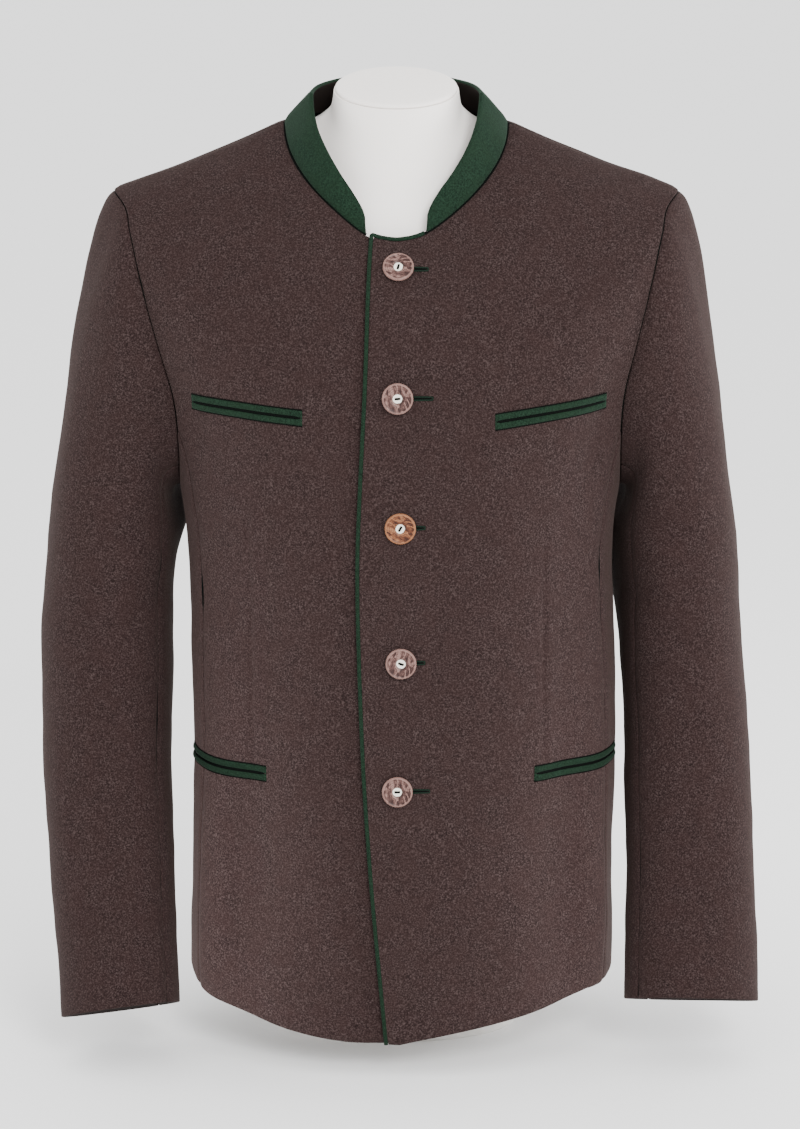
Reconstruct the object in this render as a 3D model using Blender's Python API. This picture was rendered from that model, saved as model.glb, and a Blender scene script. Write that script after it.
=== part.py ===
"""Trachten coat: a buttoned wool jacket with a green stand collar, shown on a plain dress form.

Metres, +Z up. The coat's front faces -Y and the wearer's left is at +X. The origin is the
centre of the underside of the dress form's oval foot, on the floor. The cloth pieces are walls
cut from two surfaces, the body and the sleeves, that are worked out from rings of named sizes.
"""

import math

import bpy
import numpy as np
from mathutils import Matrix

# Cloth
CLOTH = 0.0022
COLLAR_CLOTH = 0.0030
SEAM_DRAW = 0.0002
ARMHOLE_GAP = 0.0006
LAYER_GAP = 0.0010
TRIM_LIFT = 0.0005

# The coat's body, ring by ring, from the neck seam down to the hem. "down" is the distance
# along the cloth, z_front, z_side and z_back are the ring's heights, and front and back are
# its depths before and behind mid_y. A larger fullness makes a squarer ring.
RING_COLUMNS = (
    "down", "z_front", "z_side", "z_back", "mid_x", "half_width", "mid_y", "front", "back", "fullness"
)
COAT_RINGS = {
    "neck seam": (0.000, 0.6865, 0.7775, 0.784, -0.003, 0.0932, 0.008, 0.0905, 0.060, 2.00),
    "yoke": (0.075, 0.644, 0.7485, 0.722, -0.003, 0.1655, 0.006, 0.119, 0.108, 2.15),
    "pad edge": (0.128, 0.607, 0.7300, 0.655, -0.003, 0.2165, 0.005, 0.128, 0.122, 2.15),
    "shoulder": (0.150, 0.592, 0.7215, 0.630, -0.003, 0.2340, 0.004, 0.130, 0.124, 2.15),
    "below pad": (0.176, 0.571, 0.7020, 0.606, -0.003, 0.2395, 0.004, 0.132, 0.125, 2.15),
    "armpit": (0.330, 0.492, 0.492, 0.492, 0.000, 0.1870, 0.001, 0.134, 0.125, 2.35),
    "ribs": (0.390, 0.432, 0.432, 0.432, 0.000, 0.1790, 0.000, 0.133, 0.121, 2.50),
    "waist": (0.460, 0.362, 0.362, 0.362, 0.002, 0.1795, 0.000, 0.131, 0.113, 2.45),
    "high hip": (0.540, 0.282, 0.282, 0.282, 0.004, 0.1800, 0.000, 0.134, 0.117, 2.45),
    "hip": (0.660, 0.162, 0.162, 0.162, 0.002, 0.1805, 0.000, 0.139, 0.127, 2.40),
    "hem": (0.772, 0.0275, 0.0580, 0.0560, 0.001, 0.1820, 0.000, 0.143, 0.132, 2.35),
}
SHOULDER_RINGS = 4
SHOULDER_ROUNDING = 1.6
NECK_DIP_START = 0.13
NECK_DIP_EASE = 0.10
HEM_DIP_REACH = {"right": math.radians(88), "left": math.radians(58)}
HEM_LEFT_POWER = 0.85

# Soft folds in the body: the angle and height of the middle, the reach each way, and how
# far the cloth stands out there
FOLD_COLUMNS = ("angle", "z", "angle_reach", "z_reach", "rise")
COAT_FOLDS = {
    "right hip ridge": (-61, 0.122, 9, 0.120, 0.0055),
    "right hip trough": (-44, 0.172, 9, 0.130, -0.0065),
    "left hip ridge": (63, 0.132, 9, 0.110, 0.0055),
    "left hip trough": (48, 0.182, 9, 0.120, -0.0060),
    "right waist hollow": (-52, 0.392, 13, 0.080, -0.0030),
    "left waist hollow": (52, 0.382, 13, 0.090, -0.0035),
    "right chest hollow": (-57, 0.532, 8, 0.045, -0.0025),
    "left chest hollow": (55, 0.522, 9, 0.055, -0.0035),
    "right back fold": (-128, 0.262, 9, 0.200, 0.0045),
    "left back fold": (131, 0.242, 10, 0.190, 0.0040),
    "right blade": (-152, 0.592, 18, 0.090, 0.0040),
    "left blade": (152, 0.597, 18, 0.090, 0.0040),
    "back waist": (180, 0.352, 20, 0.090, -0.0035),
}
FOLD_RADIUS = 0.15

# Seams of the body, as angles round it from the centre front
SIDE_SEAM = math.radians(68.5)
BACK_SEAM = math.radians(118)
SHOULDER_SEAM = math.pi / 2
CENTRE_BACK = math.pi

# The front opening: the wearer's left front lies on the right one
LAP_EDGE_COLUMNS = ("z", "x")
LAP_EDGE = {
    "neck": (0.692, -0.0225),
    "top button": (0.669, -0.0235),
    "chest": (0.577, -0.0265),
    "waist": (0.417, -0.0330),
    "hip": (0.277, -0.0293),
    "skirt": (0.177, -0.0232),
    "hem": (0.027, -0.0100),
}
UNDERLAP_X = 0.025
LAP_RAMP = (0.006, 0.034)

# Armhole, as an egg in side view
ARMHOLE_TOP = 0.7215
ARMHOLE_BOTTOM = 0.474
ARMHOLE_MID_Y = 0.004
ARMHOLE_FRONT = 0.076
ARMHOLE_BACK = 0.068
ARMHOLE_HIGH_FULLNESS = 0.08

# Sleeves: sections from the upper arm to the cuff. outer and inner are distances from the
# coat's middle, slope is the rise towards the front and roll the rise outwards.
SLEEVE_COLUMNS = ("z", "outer", "inner", "mid_y", "half_depth", "slope", "roll")
SLEEVE_SECTIONS = {
    "right": {
        "upper arm": (0.432, 0.2985, 0.1890, 0.006, 0.0680, 0.00, 0.00),
        "elbow": (0.332, 0.3050, 0.1940, 0.002, 0.0660, 0.08, 0.00),
        "below elbow": (0.242, 0.3035, 0.1945, -0.020, 0.0620, 0.26, 0.00),
        "forearm": (0.162, 0.2970, 0.1915, -0.048, 0.0565, 0.33, -0.04),
        "wrist": (0.092, 0.2895, 0.1885, -0.076, 0.0520, 0.36, -0.10),
        "cuff": (0.043, 0.2845, 0.1850, -0.098, 0.0500, 0.37, -0.14),
    },
    "left": {
        "upper arm": (0.432, 0.2850, 0.1845, 0.006, 0.0700, 0.00, 0.00),
        "elbow": (0.332, 0.2920, 0.1885, 0.002, 0.0670, 0.08, 0.00),
        "below elbow": (0.242, 0.2975, 0.1915, -0.020, 0.0610, 0.26, 0.00),
        "forearm": (0.162, 0.2995, 0.1915, -0.048, 0.0545, 0.33, 0.00),
        "wrist": (0.092, 0.3010, 0.1905, -0.076, 0.0490, 0.36, 0.00),
        "cuff": (0.051, 0.3010, 0.1880, -0.096, 0.0465, 0.37, -0.02),
    },
}
SLEEVE_FULLNESS = 2.2
FOREARM_SEAM = {"right": math.radians(152), "left": math.radians(138)}
HINDARM_SEAM = math.radians(242)
# How the sleeve head leaves the armhole: at the top, the front and back, and the bottom
HEAD_ANGLES = (0, 90, 180)
HEAD_OUTWARD = (0.75, 0.85, 1.00)
HEAD_DOWNWARD = (0.66, 0.40, -0.05)
HEAD_FORTH = 0.38
HEAD_START_REACH = (0.024, 0.032, 0.016)
HEAD_END_SHARE = (0.72, 0.58, 0.40)
HEAD_LEAN = (0.06, 0.03, 0.0)
HEAD_TURN = (0.0, 0.25, 1.00)
SLEEVE_FOLD_COLUMNS = ("angle", "z", "angle_reach", "z_reach", "rise")
SLEEVE_FOLDS = {
    "right": {
        "elbow crease": (95, 0.352, 38, 0.016, -0.0030),
        "elbow roll": (95, 0.312, 42, 0.020, 0.0022),
        "inner crease": (140, 0.387, 34, 0.016, -0.0025),
        "underarm slack": (216, 0.450, 24, 0.030, 0.0170),
        "elbow point": (265, 0.337, 40, 0.055, 0.0030),
        "forearm hollow": (105, 0.192, 30, 0.080, -0.0025),
    },
    "left": {
        "elbow crease": (95, 0.352, 38, 0.016, -0.0030),
        "elbow roll": (95, 0.312, 42, 0.020, 0.0022),
        "inner crease": (140, 0.387, 34, 0.016, -0.0030),
        "underarm slack": (218, 0.405, 25, 0.055, 0.0145),
        "high underarm slack": (222, 0.450, 26, 0.025, 0.0090),
        "elbow point": (265, 0.337, 40, 0.055, 0.0030),
        "forearm hollow": (105, 0.192, 30, 0.080, -0.0025),
    },
}

# Collar: the base is the neck seam, the top edge a smaller ring
COLLAR_TOP = (0.000, 0.703, 0.803, 0.815, -0.003, 0.0700, -0.016, 0.062, 0.080, 2.00)
COLLAR_END_X = 0.0245
COLLAR_TWIST = math.radians(13)
COLLAR_CORNER = math.radians(9)
COLLAR_CORNER_CUT = 0.40

PIPING_RADIUS = 0.0011
PIPING_GAP = 0.0004
CORNER_TURNS = (0, 30, 60, 90)
CORD_SIDES = 6

# Pockets: two green lips each, with a dark slit between
LIP_WIDTH = 0.0058
LIP_CLOTH = 0.0013
SLIT = 0.0009
LIPS = {"upper": (SLIT / 2, SLIT / 2 + LIP_WIDTH), "lower": (-SLIT / 2 - LIP_WIDTH, -SLIT / 2)}
CHEST_POCKET_ENDS = {
    "right": ((-0.1685, 0.5585), (-0.0785, 0.5500)),
    "left": ((0.0765, 0.5468), (0.1675, 0.5585)),
}
HIP_POCKET_Z = {"right": 0.2515, "left": 0.2535}
HIP_POCKET_ANGLES = {"right": (-82, -40.5), "left": (36.5, 80)}

# Buttons
BUTTON_RADIUS = 0.0127
BUTTON_THICKNESS = 0.0045
BUTTON_DISH_RADIUS = 0.0046
BUTTON_DISH_DEPTH = 0.0009
BUTTON_HOLE_RADIUS = 0.0009
BUTTON_HOLE_PITCH = 0.0044
BUTTON_COLUMNS = ("x", "z", "turn")
BUTTONS = {
    "button_1": (-0.0014, 0.6670, 75),
    "button_2": (-0.0020, 0.5665, 5),
    "button_3": (0.0002, 0.4620, 60),
    "button_4": (0.0008, 0.3500, -20),
    "button_5": (-0.0022, 0.2435, 0),
}

# Dress form: neck rings of its own, then the coat's shape before its folds, set this deep
# under the cloth's outer face
FORM_NECK_RINGS = {
    "neck top": (0.000, 0.7910, 0.8040, 0.8180, -0.003, 0.0515, 0.002, 0.0560, 0.0540, 2.00),
    "neck": (0.000, 0.7590, 0.7920, 0.8020, -0.003, 0.0535, 0.002, 0.0565, 0.0550, 2.00),
    "neck root": (0.000, 0.7240, 0.7810, 0.7910, -0.003, 0.0640, 0.003, 0.0600, 0.0560, 2.00),
}
FORM_SEAT_DEPTH = 0.0031
FORM_NECK_EXTRA = (0.0035, 0.022)
FORM_SHOULDER_EXTRA = (0.0085, 0.095, 0.050)
FORM_CHEST_EXTRA = (0.0075, math.radians(10), math.radians(26))
FORM_WAIST_EXTRA = (0.0060, 0.200, 0.150)
FORM_BOTTOM_Z = 0.108
NECK_CAP_RISE = 0.006
NECK_CAP_INSET = 0.0012
FOOT_RADIUS = 0.100
FOOT_DEPTH_SHARE = 0.60
FOOT_THICKNESS = 0.012
FOOT_BEVEL = 0.002
FOOT_COLUMN_RADIUS = 0.050
SEAT_GAP = 0.0003

# How finely each piece is divided. Rows lie higher at the centre than at the shoulder and
# armhole: this share of the distance down, swept on a curve of this power.
LEVEL_SHARE = 0.55
ROW_SWEEP = 2.0
SHOULDER_ROWS = 6
ARMHOLE_ROWS = 9
SIDE_ROWS = 11
FRONT_COLUMNS = 13
SIDE_COLUMNS = 7
BACK_COLUMNS = 9
HEAD_SHARES = (0.0, 0.07, 0.16, 0.27, 0.40, 0.55, 0.70, 0.85, 1.0)
SLEEVE_ROWS = 10
COLLAR_ROWS = 4
FORM_ROWS = 24
FORM_COLUMNS = 28
SEARCH_STEPS = 24

# Colours
WOOL = (0.070, 0.047, 0.046, 1.0)
GREEN = (0.030, 0.055, 0.036, 1.0)
HORN = (0.300, 0.130, 0.095, 1.0)
CREAM = (0.800, 0.760, 0.710, 1.0)
ENAMEL = (0.620, 0.600, 0.570, 1.0)


def material(name, colour, roughness, metallic=0.0):
    made = bpy.data.materials.get(name) or bpy.data.materials.new(name)
    made.use_nodes = True
    shader = made.node_tree.nodes["Principled BSDF"]
    shader.inputs["Base Color"].default_value = colour
    shader.inputs["Roughness"].default_value = roughness
    shader.inputs["Metallic"].default_value = metallic
    return made


def unit(vectors):
    length = np.linalg.norm(vectors, axis=-1, keepdims=True)
    return vectors / np.maximum(length, 1e-12)


def smoothstep(value):
    value = np.clip(value, 0.0, 1.0)
    return value * value * (3 - 2 * value)


def monotone(knots, values, at):
    """Smooth curve through values (knots first) that adds no bumps of its own, read at `at`."""
    at = np.asarray(at, float)
    places = np.clip(at, knots[0], knots[-1]).ravel()
    values = np.repeat(np.asarray(values, float)[:, None, None], places.size, axis=1)
    return monotone_each(knots, values, places).reshape(at.shape)


def dip_at_neck(angle, out, behind, left):
    """Share of the way from the neck seam's side to its front or back, at an angle from there."""
    turn = angle / (math.pi / 2) - NECK_DIP_START
    whole = 1 - NECK_DIP_START
    rise = (turn + np.sqrt(turn**2 + NECK_DIP_EASE**2)) / (whole + math.hypot(whole, NECK_DIP_EASE))
    return np.where(behind, out, 1 - rise)


def dip_over_shoulder(angle, out, behind, left):
    """The same for a ring over the shoulders, rounded where the shoulder seam runs."""
    return out**SHOULDER_ROUNDING


def dip_at_hem(angle, out, behind, left):
    """The same for the hem, lowest at the centre front. The left front's rises straight from there."""
    right_dip = 1 - np.sin(np.minimum(angle / HEM_DIP_REACH["right"], 1) * math.pi / 2) ** 2
    left_dip = 1 - np.minimum(angle / HEM_DIP_REACH["left"], 1) ** HEM_LEFT_POWER
    return np.where(left & ~behind, left_dip, right_dip)


def slanted(angle, out, behind, left):
    """The same for a ring that lies in one slanting plane."""
    return out


def ring_point(ring, angle, dip):
    """Point of one ring at an angle from the centre front, signed towards the wearer's left."""
    size = dict(zip(RING_COLUMNS, ring))
    across = np.sin(angle)
    behind = np.abs(angle) > math.pi / 2
    from_middle = np.where(behind, math.pi - np.abs(angle), np.abs(angle))
    out = (1 - np.minimum(np.abs(across), 1) ** size["fullness"]) ** (1 / size["fullness"])
    x = size["mid_x"] + size["half_width"] * across
    y = size["mid_y"] + np.where(behind, size["back"], -size["front"]) * out
    end = np.where(behind, size["z_back"], size["z_front"])
    z = size["z_side"] + (end - size["z_side"]) * dip(from_middle, out, behind, across > 0)
    return np.stack([x, y, z], axis=-1)


def through_rings(rings, dips, angle, down):
    """Surface through a table of rings, at arrays of angle and distance down."""
    angle, down = np.broadcast_arrays(np.asarray(angle, float), np.asarray(down, float))
    flat_angle, flat_down = angle.ravel(), down.ravel()
    knots = [ring[0] for ring in rings.values()]
    points = np.stack([ring_point(ring, flat_angle, dip) for ring, dip in zip(rings.values(), dips)])
    span = np.clip(np.searchsorted(knots, flat_down, side="right") - 1, 0, len(knots) - 2)
    found = np.empty((len(flat_angle), 3))
    for index in np.unique(span):
        here = span == index
        first = max(index - 1, 0)
        last = min(index + 3, len(knots))
        found[here] = monotone_each(knots[first:last], points[first:last, here], flat_down[here])
    return found.reshape(angle.shape + (3,))


def monotone_each(knots, values, at):
    """As monotone(), with its own curve for each point: values are (knot, point, xyz)."""
    knots = np.asarray(knots, float)
    step = np.diff(knots)[:, None, None]
    slope = np.diff(values, axis=0) / step
    before, after = slope[:-1], slope[1:]
    same_way = before * after > 0
    inner = np.where(same_way, 2 * before * after / np.where(same_way, before + after, 1.0), 0.0)
    tangent = np.concatenate([slope[:1], inner, slope[-1:]])
    span = np.clip(np.searchsorted(knots, at, side="right") - 1, 0, len(knots) - 2)
    each = np.arange(len(at))
    width = (knots[span + 1] - knots[span])[:, None]
    share = (at - knots[span])[:, None] / width
    square, cube = share**2, share**3
    start = (2 * cube - 3 * square + 1) * values[span, each]
    leaving = (cube - 2 * square + share) * width * tangent[span, each]
    end = (3 * square - 2 * cube) * values[span + 1, each]
    arriving = (cube - square) * width * tangent[span + 1, each]
    return start + leaving + end + arriving


def folds_at(folds, angle, z, whole_turn):
    """How far the folds lift the cloth at an angle (radians) and a height."""
    rise = np.zeros(np.broadcast(angle, z).shape)
    for middle, middle_z, reach, reach_z, height in folds.values():
        turn = (angle - math.radians(middle) + whole_turn / 2) % whole_turn - whole_turn / 2
        off = (turn / math.radians(reach)) ** 2 + ((z - middle_z) / reach_z) ** 2
        rise = rise + height * np.exp(-off)
    return rise


LOWER_RINGS = len(COAT_RINGS) - SHOULDER_RINGS - 1
COAT_DIPS = [dip_at_neck] + [dip_over_shoulder] * SHOULDER_RINGS + [dip_at_hem] * LOWER_RINGS
HEM = max(ring[0] for ring in COAT_RINGS.values())
SHOULDER_POINT = COAT_RINGS["shoulder"][0]


def smooth_body(angle, down):
    """The coat body's outer surface before its folds."""
    return through_rings(COAT_RINGS, COAT_DIPS, angle, down)


def body(angle, down):
    """The coat body's outer surface."""
    points = smooth_body(angle, down)
    rise = folds_at(COAT_FOLDS, np.asarray(angle, float), points[..., 2], 2 * math.pi)
    points[..., 0] *= 1 + rise / FOLD_RADIUS
    points[..., 1] *= 1 + rise / FOLD_RADIUS
    return points


SURVEY_ANGLES = np.linspace(-math.pi, math.pi, 721)
SURVEY_DOWNS = np.linspace(0, HEM, 260)
SURVEY = body(SURVEY_ANGLES[:, None], SURVEY_DOWNS[None, :])


def body_frame(angle, down, surface=body):
    """Outer surface point, outward normal, direction of growing angle and direction down."""
    turn, drop = 1e-3, 1e-4
    points = surface(angle, down)
    round_way = unit(surface(angle + turn, down) - surface(angle - turn, down))
    upper = np.clip(down - drop, 0, HEM)
    lower = np.clip(down + drop, 0, HEM)
    down_way = unit(surface(angle, lower) - surface(angle, upper))
    normal = unit(np.cross(down_way, round_way))
    return points, normal, round_way, down_way


def survey(axis, angle, down):
    """Coordinate of the body (0 x, 1 y, 2 z) read from the survey grid."""
    across = (angle - SURVEY_ANGLES[0]) / (SURVEY_ANGLES[1] - SURVEY_ANGLES[0])
    along = down / SURVEY_DOWNS[1]
    col = np.clip(np.floor(across).astype(int), 0, len(SURVEY_ANGLES) - 2)
    row = np.clip(np.floor(along).astype(int), 0, len(SURVEY_DOWNS) - 2)
    u, v = across - col, along - row
    grid = SURVEY[..., axis]
    near = grid[col, row] * (1 - v) + grid[col, row + 1] * v
    far = grid[col + 1, row] * (1 - v) + grid[col + 1, row + 1] * v
    return near * (1 - u) + far * u


def find_down(angle, z):
    """Distance down at which the body reaches the height z."""
    angle, z = np.broadcast_arrays(np.asarray(angle, float), np.asarray(z, float))
    low = np.zeros(z.shape)
    high = np.full(z.shape, HEM)
    for _ in range(SEARCH_STEPS):
        middle = (low + high) / 2
        above = survey(2, angle, middle) > z
        low = np.where(above, middle, low)
        high = np.where(above, high, middle)
    return (low + high) / 2


def locate(axis, value, z, lowest, highest):
    """Angle and distance down of the body point with this height and this x (axis 0) or y (axis 1)."""
    value, z = np.broadcast_arrays(np.asarray(value, float), np.asarray(z, float))
    low = np.full(value.shape, float(lowest))
    high = np.full(value.shape, float(highest))
    for _ in range(SEARCH_STEPS):
        middle = (low + high) / 2
        short = survey(axis, middle, find_down(middle, z)) < value
        low = np.where(short, middle, low)
        high = np.where(short, high, middle)
    angle = (low + high) / 2
    return angle, find_down(angle, z)


def armhole(turn):
    """Angle and distance down of the left armhole. turn is 0 at the shoulder, a quarter at the front."""
    turn = np.asarray(turn, float)
    half_height = (ARMHOLE_TOP - ARMHOLE_BOTTOM) / 2
    reach = np.where(np.sin(turn) > 0, ARMHOLE_FRONT, ARMHOLE_BACK)
    y = ARMHOLE_MID_Y - reach * np.sin(turn) * (1 + ARMHOLE_HIGH_FULLNESS * np.cos(turn))
    z = ARMHOLE_BOTTOM + half_height * (1 + np.cos(turn))
    angle, down = locate(1, y, z, math.radians(50), math.radians(135))
    top = np.cos(turn) > 1 - 1e-9
    return np.where(top, SHOULDER_SEAM, angle), np.where(top, SHOULDER_POINT, down)


def armhole_crossing(seam, first, last):
    """Turn round the armhole at which it meets a seam of the body."""
    rising = armhole(np.array([last]))[0][0] > armhole(np.array([first]))[0][0]
    for _ in range(SEARCH_STEPS):
        middle = (first + last) / 2
        before = armhole(np.array([middle]))[0][0] < seam
        if before == rising:
            first = middle
        else:
            last = middle
    return (first + last) / 2


def lap_edge_x(z):
    """Where the left front's edge lies at a height."""
    table = sorted(LAP_EDGE.values())
    return monotone([row[0] for row in table], [row[1] for row in table], z)


def lap_depth(x, z):
    """How far the right front sinks so that the left one can lie on it."""
    from_edge = lap_edge_x(z) - x
    start, end = LAP_RAMP
    return (CLOTH + LAYER_GAP) * (1 - smoothstep((from_edge - start) / (end - start)))


def body_wall(angle, down, under=False):
    """Outer points and normals of a piece of the body, sunk under the left front's lap if asked."""
    points, normal, _, _ = body_frame(angle, down)
    if under:
        points = points - normal * lap_depth(points[..., 0], points[..., 2])[..., None]
    return points, normal


def draw_back(points, sides):
    """Moves the grid's named edges in by SEAM_DRAW, so that neighbours stay apart."""
    moved = points.copy()
    ends = {"top": (0, 1), "bottom": (-1, -2)}
    for side in sides:
        if side in ends:
            edge, next_to = ends[side]
            moved[edge] += unit(points[next_to] - points[edge]) * SEAM_DRAW
        else:
            edge, next_to = {"left": (0, 1), "right": (-1, -2)}[side]
            moved[:, edge] += unit(points[:, next_to] - points[:, edge]) * SEAM_DRAW
    return moved


def add_mesh(name, points, faces, finish, smooth=True):
    mesh = bpy.data.meshes.new(name)
    mesh.from_pydata([tuple(point) for point in points], [], [tuple(face) for face in faces])
    mesh.update()
    made = bpy.data.objects.new(name, mesh)
    bpy.context.scene.collection.objects.link(made)
    mesh.materials.append(finish)
    if smooth:
        mesh.shade_smooth()
        mesh.set_sharp_from_angle(angle=math.radians(40))
    return made


def add_wall(name, outer, inner, finish):
    """Closed wall between two grids of the same size. Rows run down and columns to the wearer's left."""
    rows, columns = outer.shape[:2]
    count = rows * columns
    index = np.arange(count).reshape(rows, columns)
    faces = []
    for row in range(rows - 1):
        for col in range(columns - 1):
            a, b = index[row, col], index[row, col + 1]
            c, d = index[row + 1, col + 1], index[row + 1, col]
            faces.append((a, d, c, b))
            faces.append((a + count, b + count, c + count, d + count))
    rim = list(index[0, :]) + list(index[1:, -1]) + list(index[-1, -2::-1]) + list(index[-2:0:-1, 0])
    for here, there in zip(rim, rim[1:] + rim[:1]):
        faces.append((here, there, there + count, here + count))
    return add_mesh(name, np.concatenate([outer.reshape(-1, 3), inner.reshape(-1, 3)]), faces, finish)


def cut_wall(name, points, normals, sides, thickness, finish):
    """Wall from outer points and normals, with its seam edges drawn back."""
    inner = points - normals * thickness
    return add_wall(name, draw_back(points, sides), draw_back(inner, sides), finish)


def mirror_columns(*grids):
    """Turns a grid made on the wearer's left into columns that still run to the wearer's left."""
    return [grid[:, ::-1] for grid in grids]


def armhole_turns():
    """Turns round the armhole of the vertices its pieces share: front, side and back panel's."""
    front_turn = armhole_crossing(SIDE_SEAM, math.radians(90), math.radians(175))
    back_turn = armhole_crossing(BACK_SEAM, math.radians(185), math.radians(262))
    front = np.linspace(0, front_turn, ARMHOLE_ROWS + 1)
    low = np.linspace(front_turn, back_turn, SIDE_COLUMNS)
    back = np.linspace(back_turn, 2 * math.pi, ARMHOLE_ROWS + 1)
    return front, low, back


def panel_lines(turns):
    """Angles and distances down along the seams that the body's panels share."""
    shoulder = np.linspace(0, SHOULDER_POINT, SHOULDER_ROWS)
    front_hole = armhole(turns[0][1:])
    low_hole = armhole(turns[1])
    back_hole = armhole(turns[2][-2::-1])
    below = np.linspace(0, 1, SIDE_ROWS + 1)
    return shoulder, front_hole, back_hole, low_hole, below


def edge_lines(hole, seam, shoulder, below):
    """The armhole side of a front or back panel: shoulder seam, armhole, then side seam."""
    start = hole[1][-1]
    seam_down = start + (HEM - start) * below[1:]
    shoulder_angle = np.full(len(shoulder), SHOULDER_SEAM)
    angle = np.concatenate([shoulder_angle, hole[0], np.full(len(seam_down), seam)])
    down = np.concatenate([shoulder, hole[1], seam_down])
    high = shoulder * LEVEL_SHARE
    level = np.linspace(high[-1], start, len(hole[1]) + 1)[1:]
    return angle, down, np.concatenate([high, level, seam_down])


def front_edge(side, level):
    """Angles of a front's edge at the opening, one for each level down the centre front."""
    z = body(np.zeros(len(level)), level)[:, 2]
    edge_x = lap_edge_x(z) if side == "left" else np.full(len(z), UNDERLAP_X)
    return locate(0, edge_x, z, math.radians(-30), math.radians(30))[0]


def make_front(side, lines, finish):
    """One front: from its edge at the opening to the shoulder seam, armhole and side seam."""
    shoulder, front_hole, _, _, below = lines
    seam_angle, seam_down, level = edge_lines(front_hole, SIDE_SEAM, shoulder, below)
    sign = 1 if side == "left" else -1
    edge_angle = front_edge(side, level) * sign
    share = np.linspace(0, 1, FRONT_COLUMNS)[None, :]
    angle = edge_angle[:, None] * (1 - share) + seam_angle[:, None] * share
    down = level[:, None] + (seam_down - level)[:, None] * share**ROW_SWEEP
    points, normals = body_wall(sign * angle, down, under=side == "right")
    if side == "right":
        points, normals = mirror_columns(points, normals)
    seam_side = "right" if side == "left" else "left"
    return cut_wall(f"front_{side}", points, normals, ["top", seam_side], CLOTH, finish)


def make_side(side, lines, finish):
    """One side panel, from the bottom of the armhole to the hem."""
    low_hole, below = lines[3], lines[4]
    sign = 1 if side == "left" else -1
    share = np.linspace(0, 1, SIDE_COLUMNS)
    hem_angle = SIDE_SEAM + (BACK_SEAM - SIDE_SEAM) * share
    settle = smoothstep(below * 3)[:, None]
    angle = low_hole[0][None, :] * (1 - settle) + hem_angle[None, :] * settle
    down = low_hole[1][None, :] + (HEM - low_hole[1][None, :]) * below[:, None]
    points, normals = body_wall(sign * angle, down)
    if side == "right":
        points, normals = mirror_columns(points, normals)
    return cut_wall(f"side_{side}", points, normals, ["top", "left", "right"], CLOTH, finish)


def make_back(side, lines, finish):
    """One back panel, from the side seam and armhole to the centre back seam."""
    shoulder, _, back_hole, _, below = lines
    seam_angle, seam_down, level = edge_lines(back_hole, BACK_SEAM, shoulder, below)
    sign = 1 if side == "left" else -1
    share = np.linspace(0, 1, BACK_COLUMNS)[None, :]
    angle = seam_angle[:, None] * (1 - share) + CENTRE_BACK * share
    down = level[:, None] + (seam_down - level)[:, None] * (1 - share) ** ROW_SWEEP
    points, normals = body_wall(sign * angle, down)
    if side == "right":
        points, normals = mirror_columns(points, normals)
    return cut_wall(f"back_{side}", points, normals, ["top", "left", "right"], CLOTH, finish)


def sleeve_section(side, z, turn):
    """Points of the sleeve tube at a height (before slope and roll) and turns round it."""
    sign = 1 if side == "left" else -1
    table = sorted(SLEEVE_SECTIONS[side].values())
    heights = [row[0] for row in table]
    size = {}
    for i, name in enumerate(SLEEVE_COLUMNS):
        size[name] = monotone(heights, [row[i] for row in table], z)
    power = 2 / SLEEVE_FULLNESS
    across = np.sign(np.cos(turn)) * np.abs(np.cos(turn)) ** power
    forward = np.sign(np.sin(turn)) * np.abs(np.sin(turn)) ** power
    half = (size["outer"] - size["inner"]) / 2
    lift = folds_at(SLEEVE_FOLDS[side], turn, z, 2 * math.pi)
    outward = size["inner"] + half + (half + lift) * across
    forth = (size["half_depth"] + lift) * forward
    height = z + size["slope"] * forth + size["roll"] * half * across
    return np.stack([sign * outward, size["mid_y"] - forth, height], axis=-1)


def at_turn(values, turn):
    """Value for a turn round the armhole, given at the top, the front or back, and the bottom."""
    from_top = np.degrees(np.abs((turn + math.pi) % (2 * math.pi) - math.pi))
    return monotone(HEAD_ANGLES, values, from_top)


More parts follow.
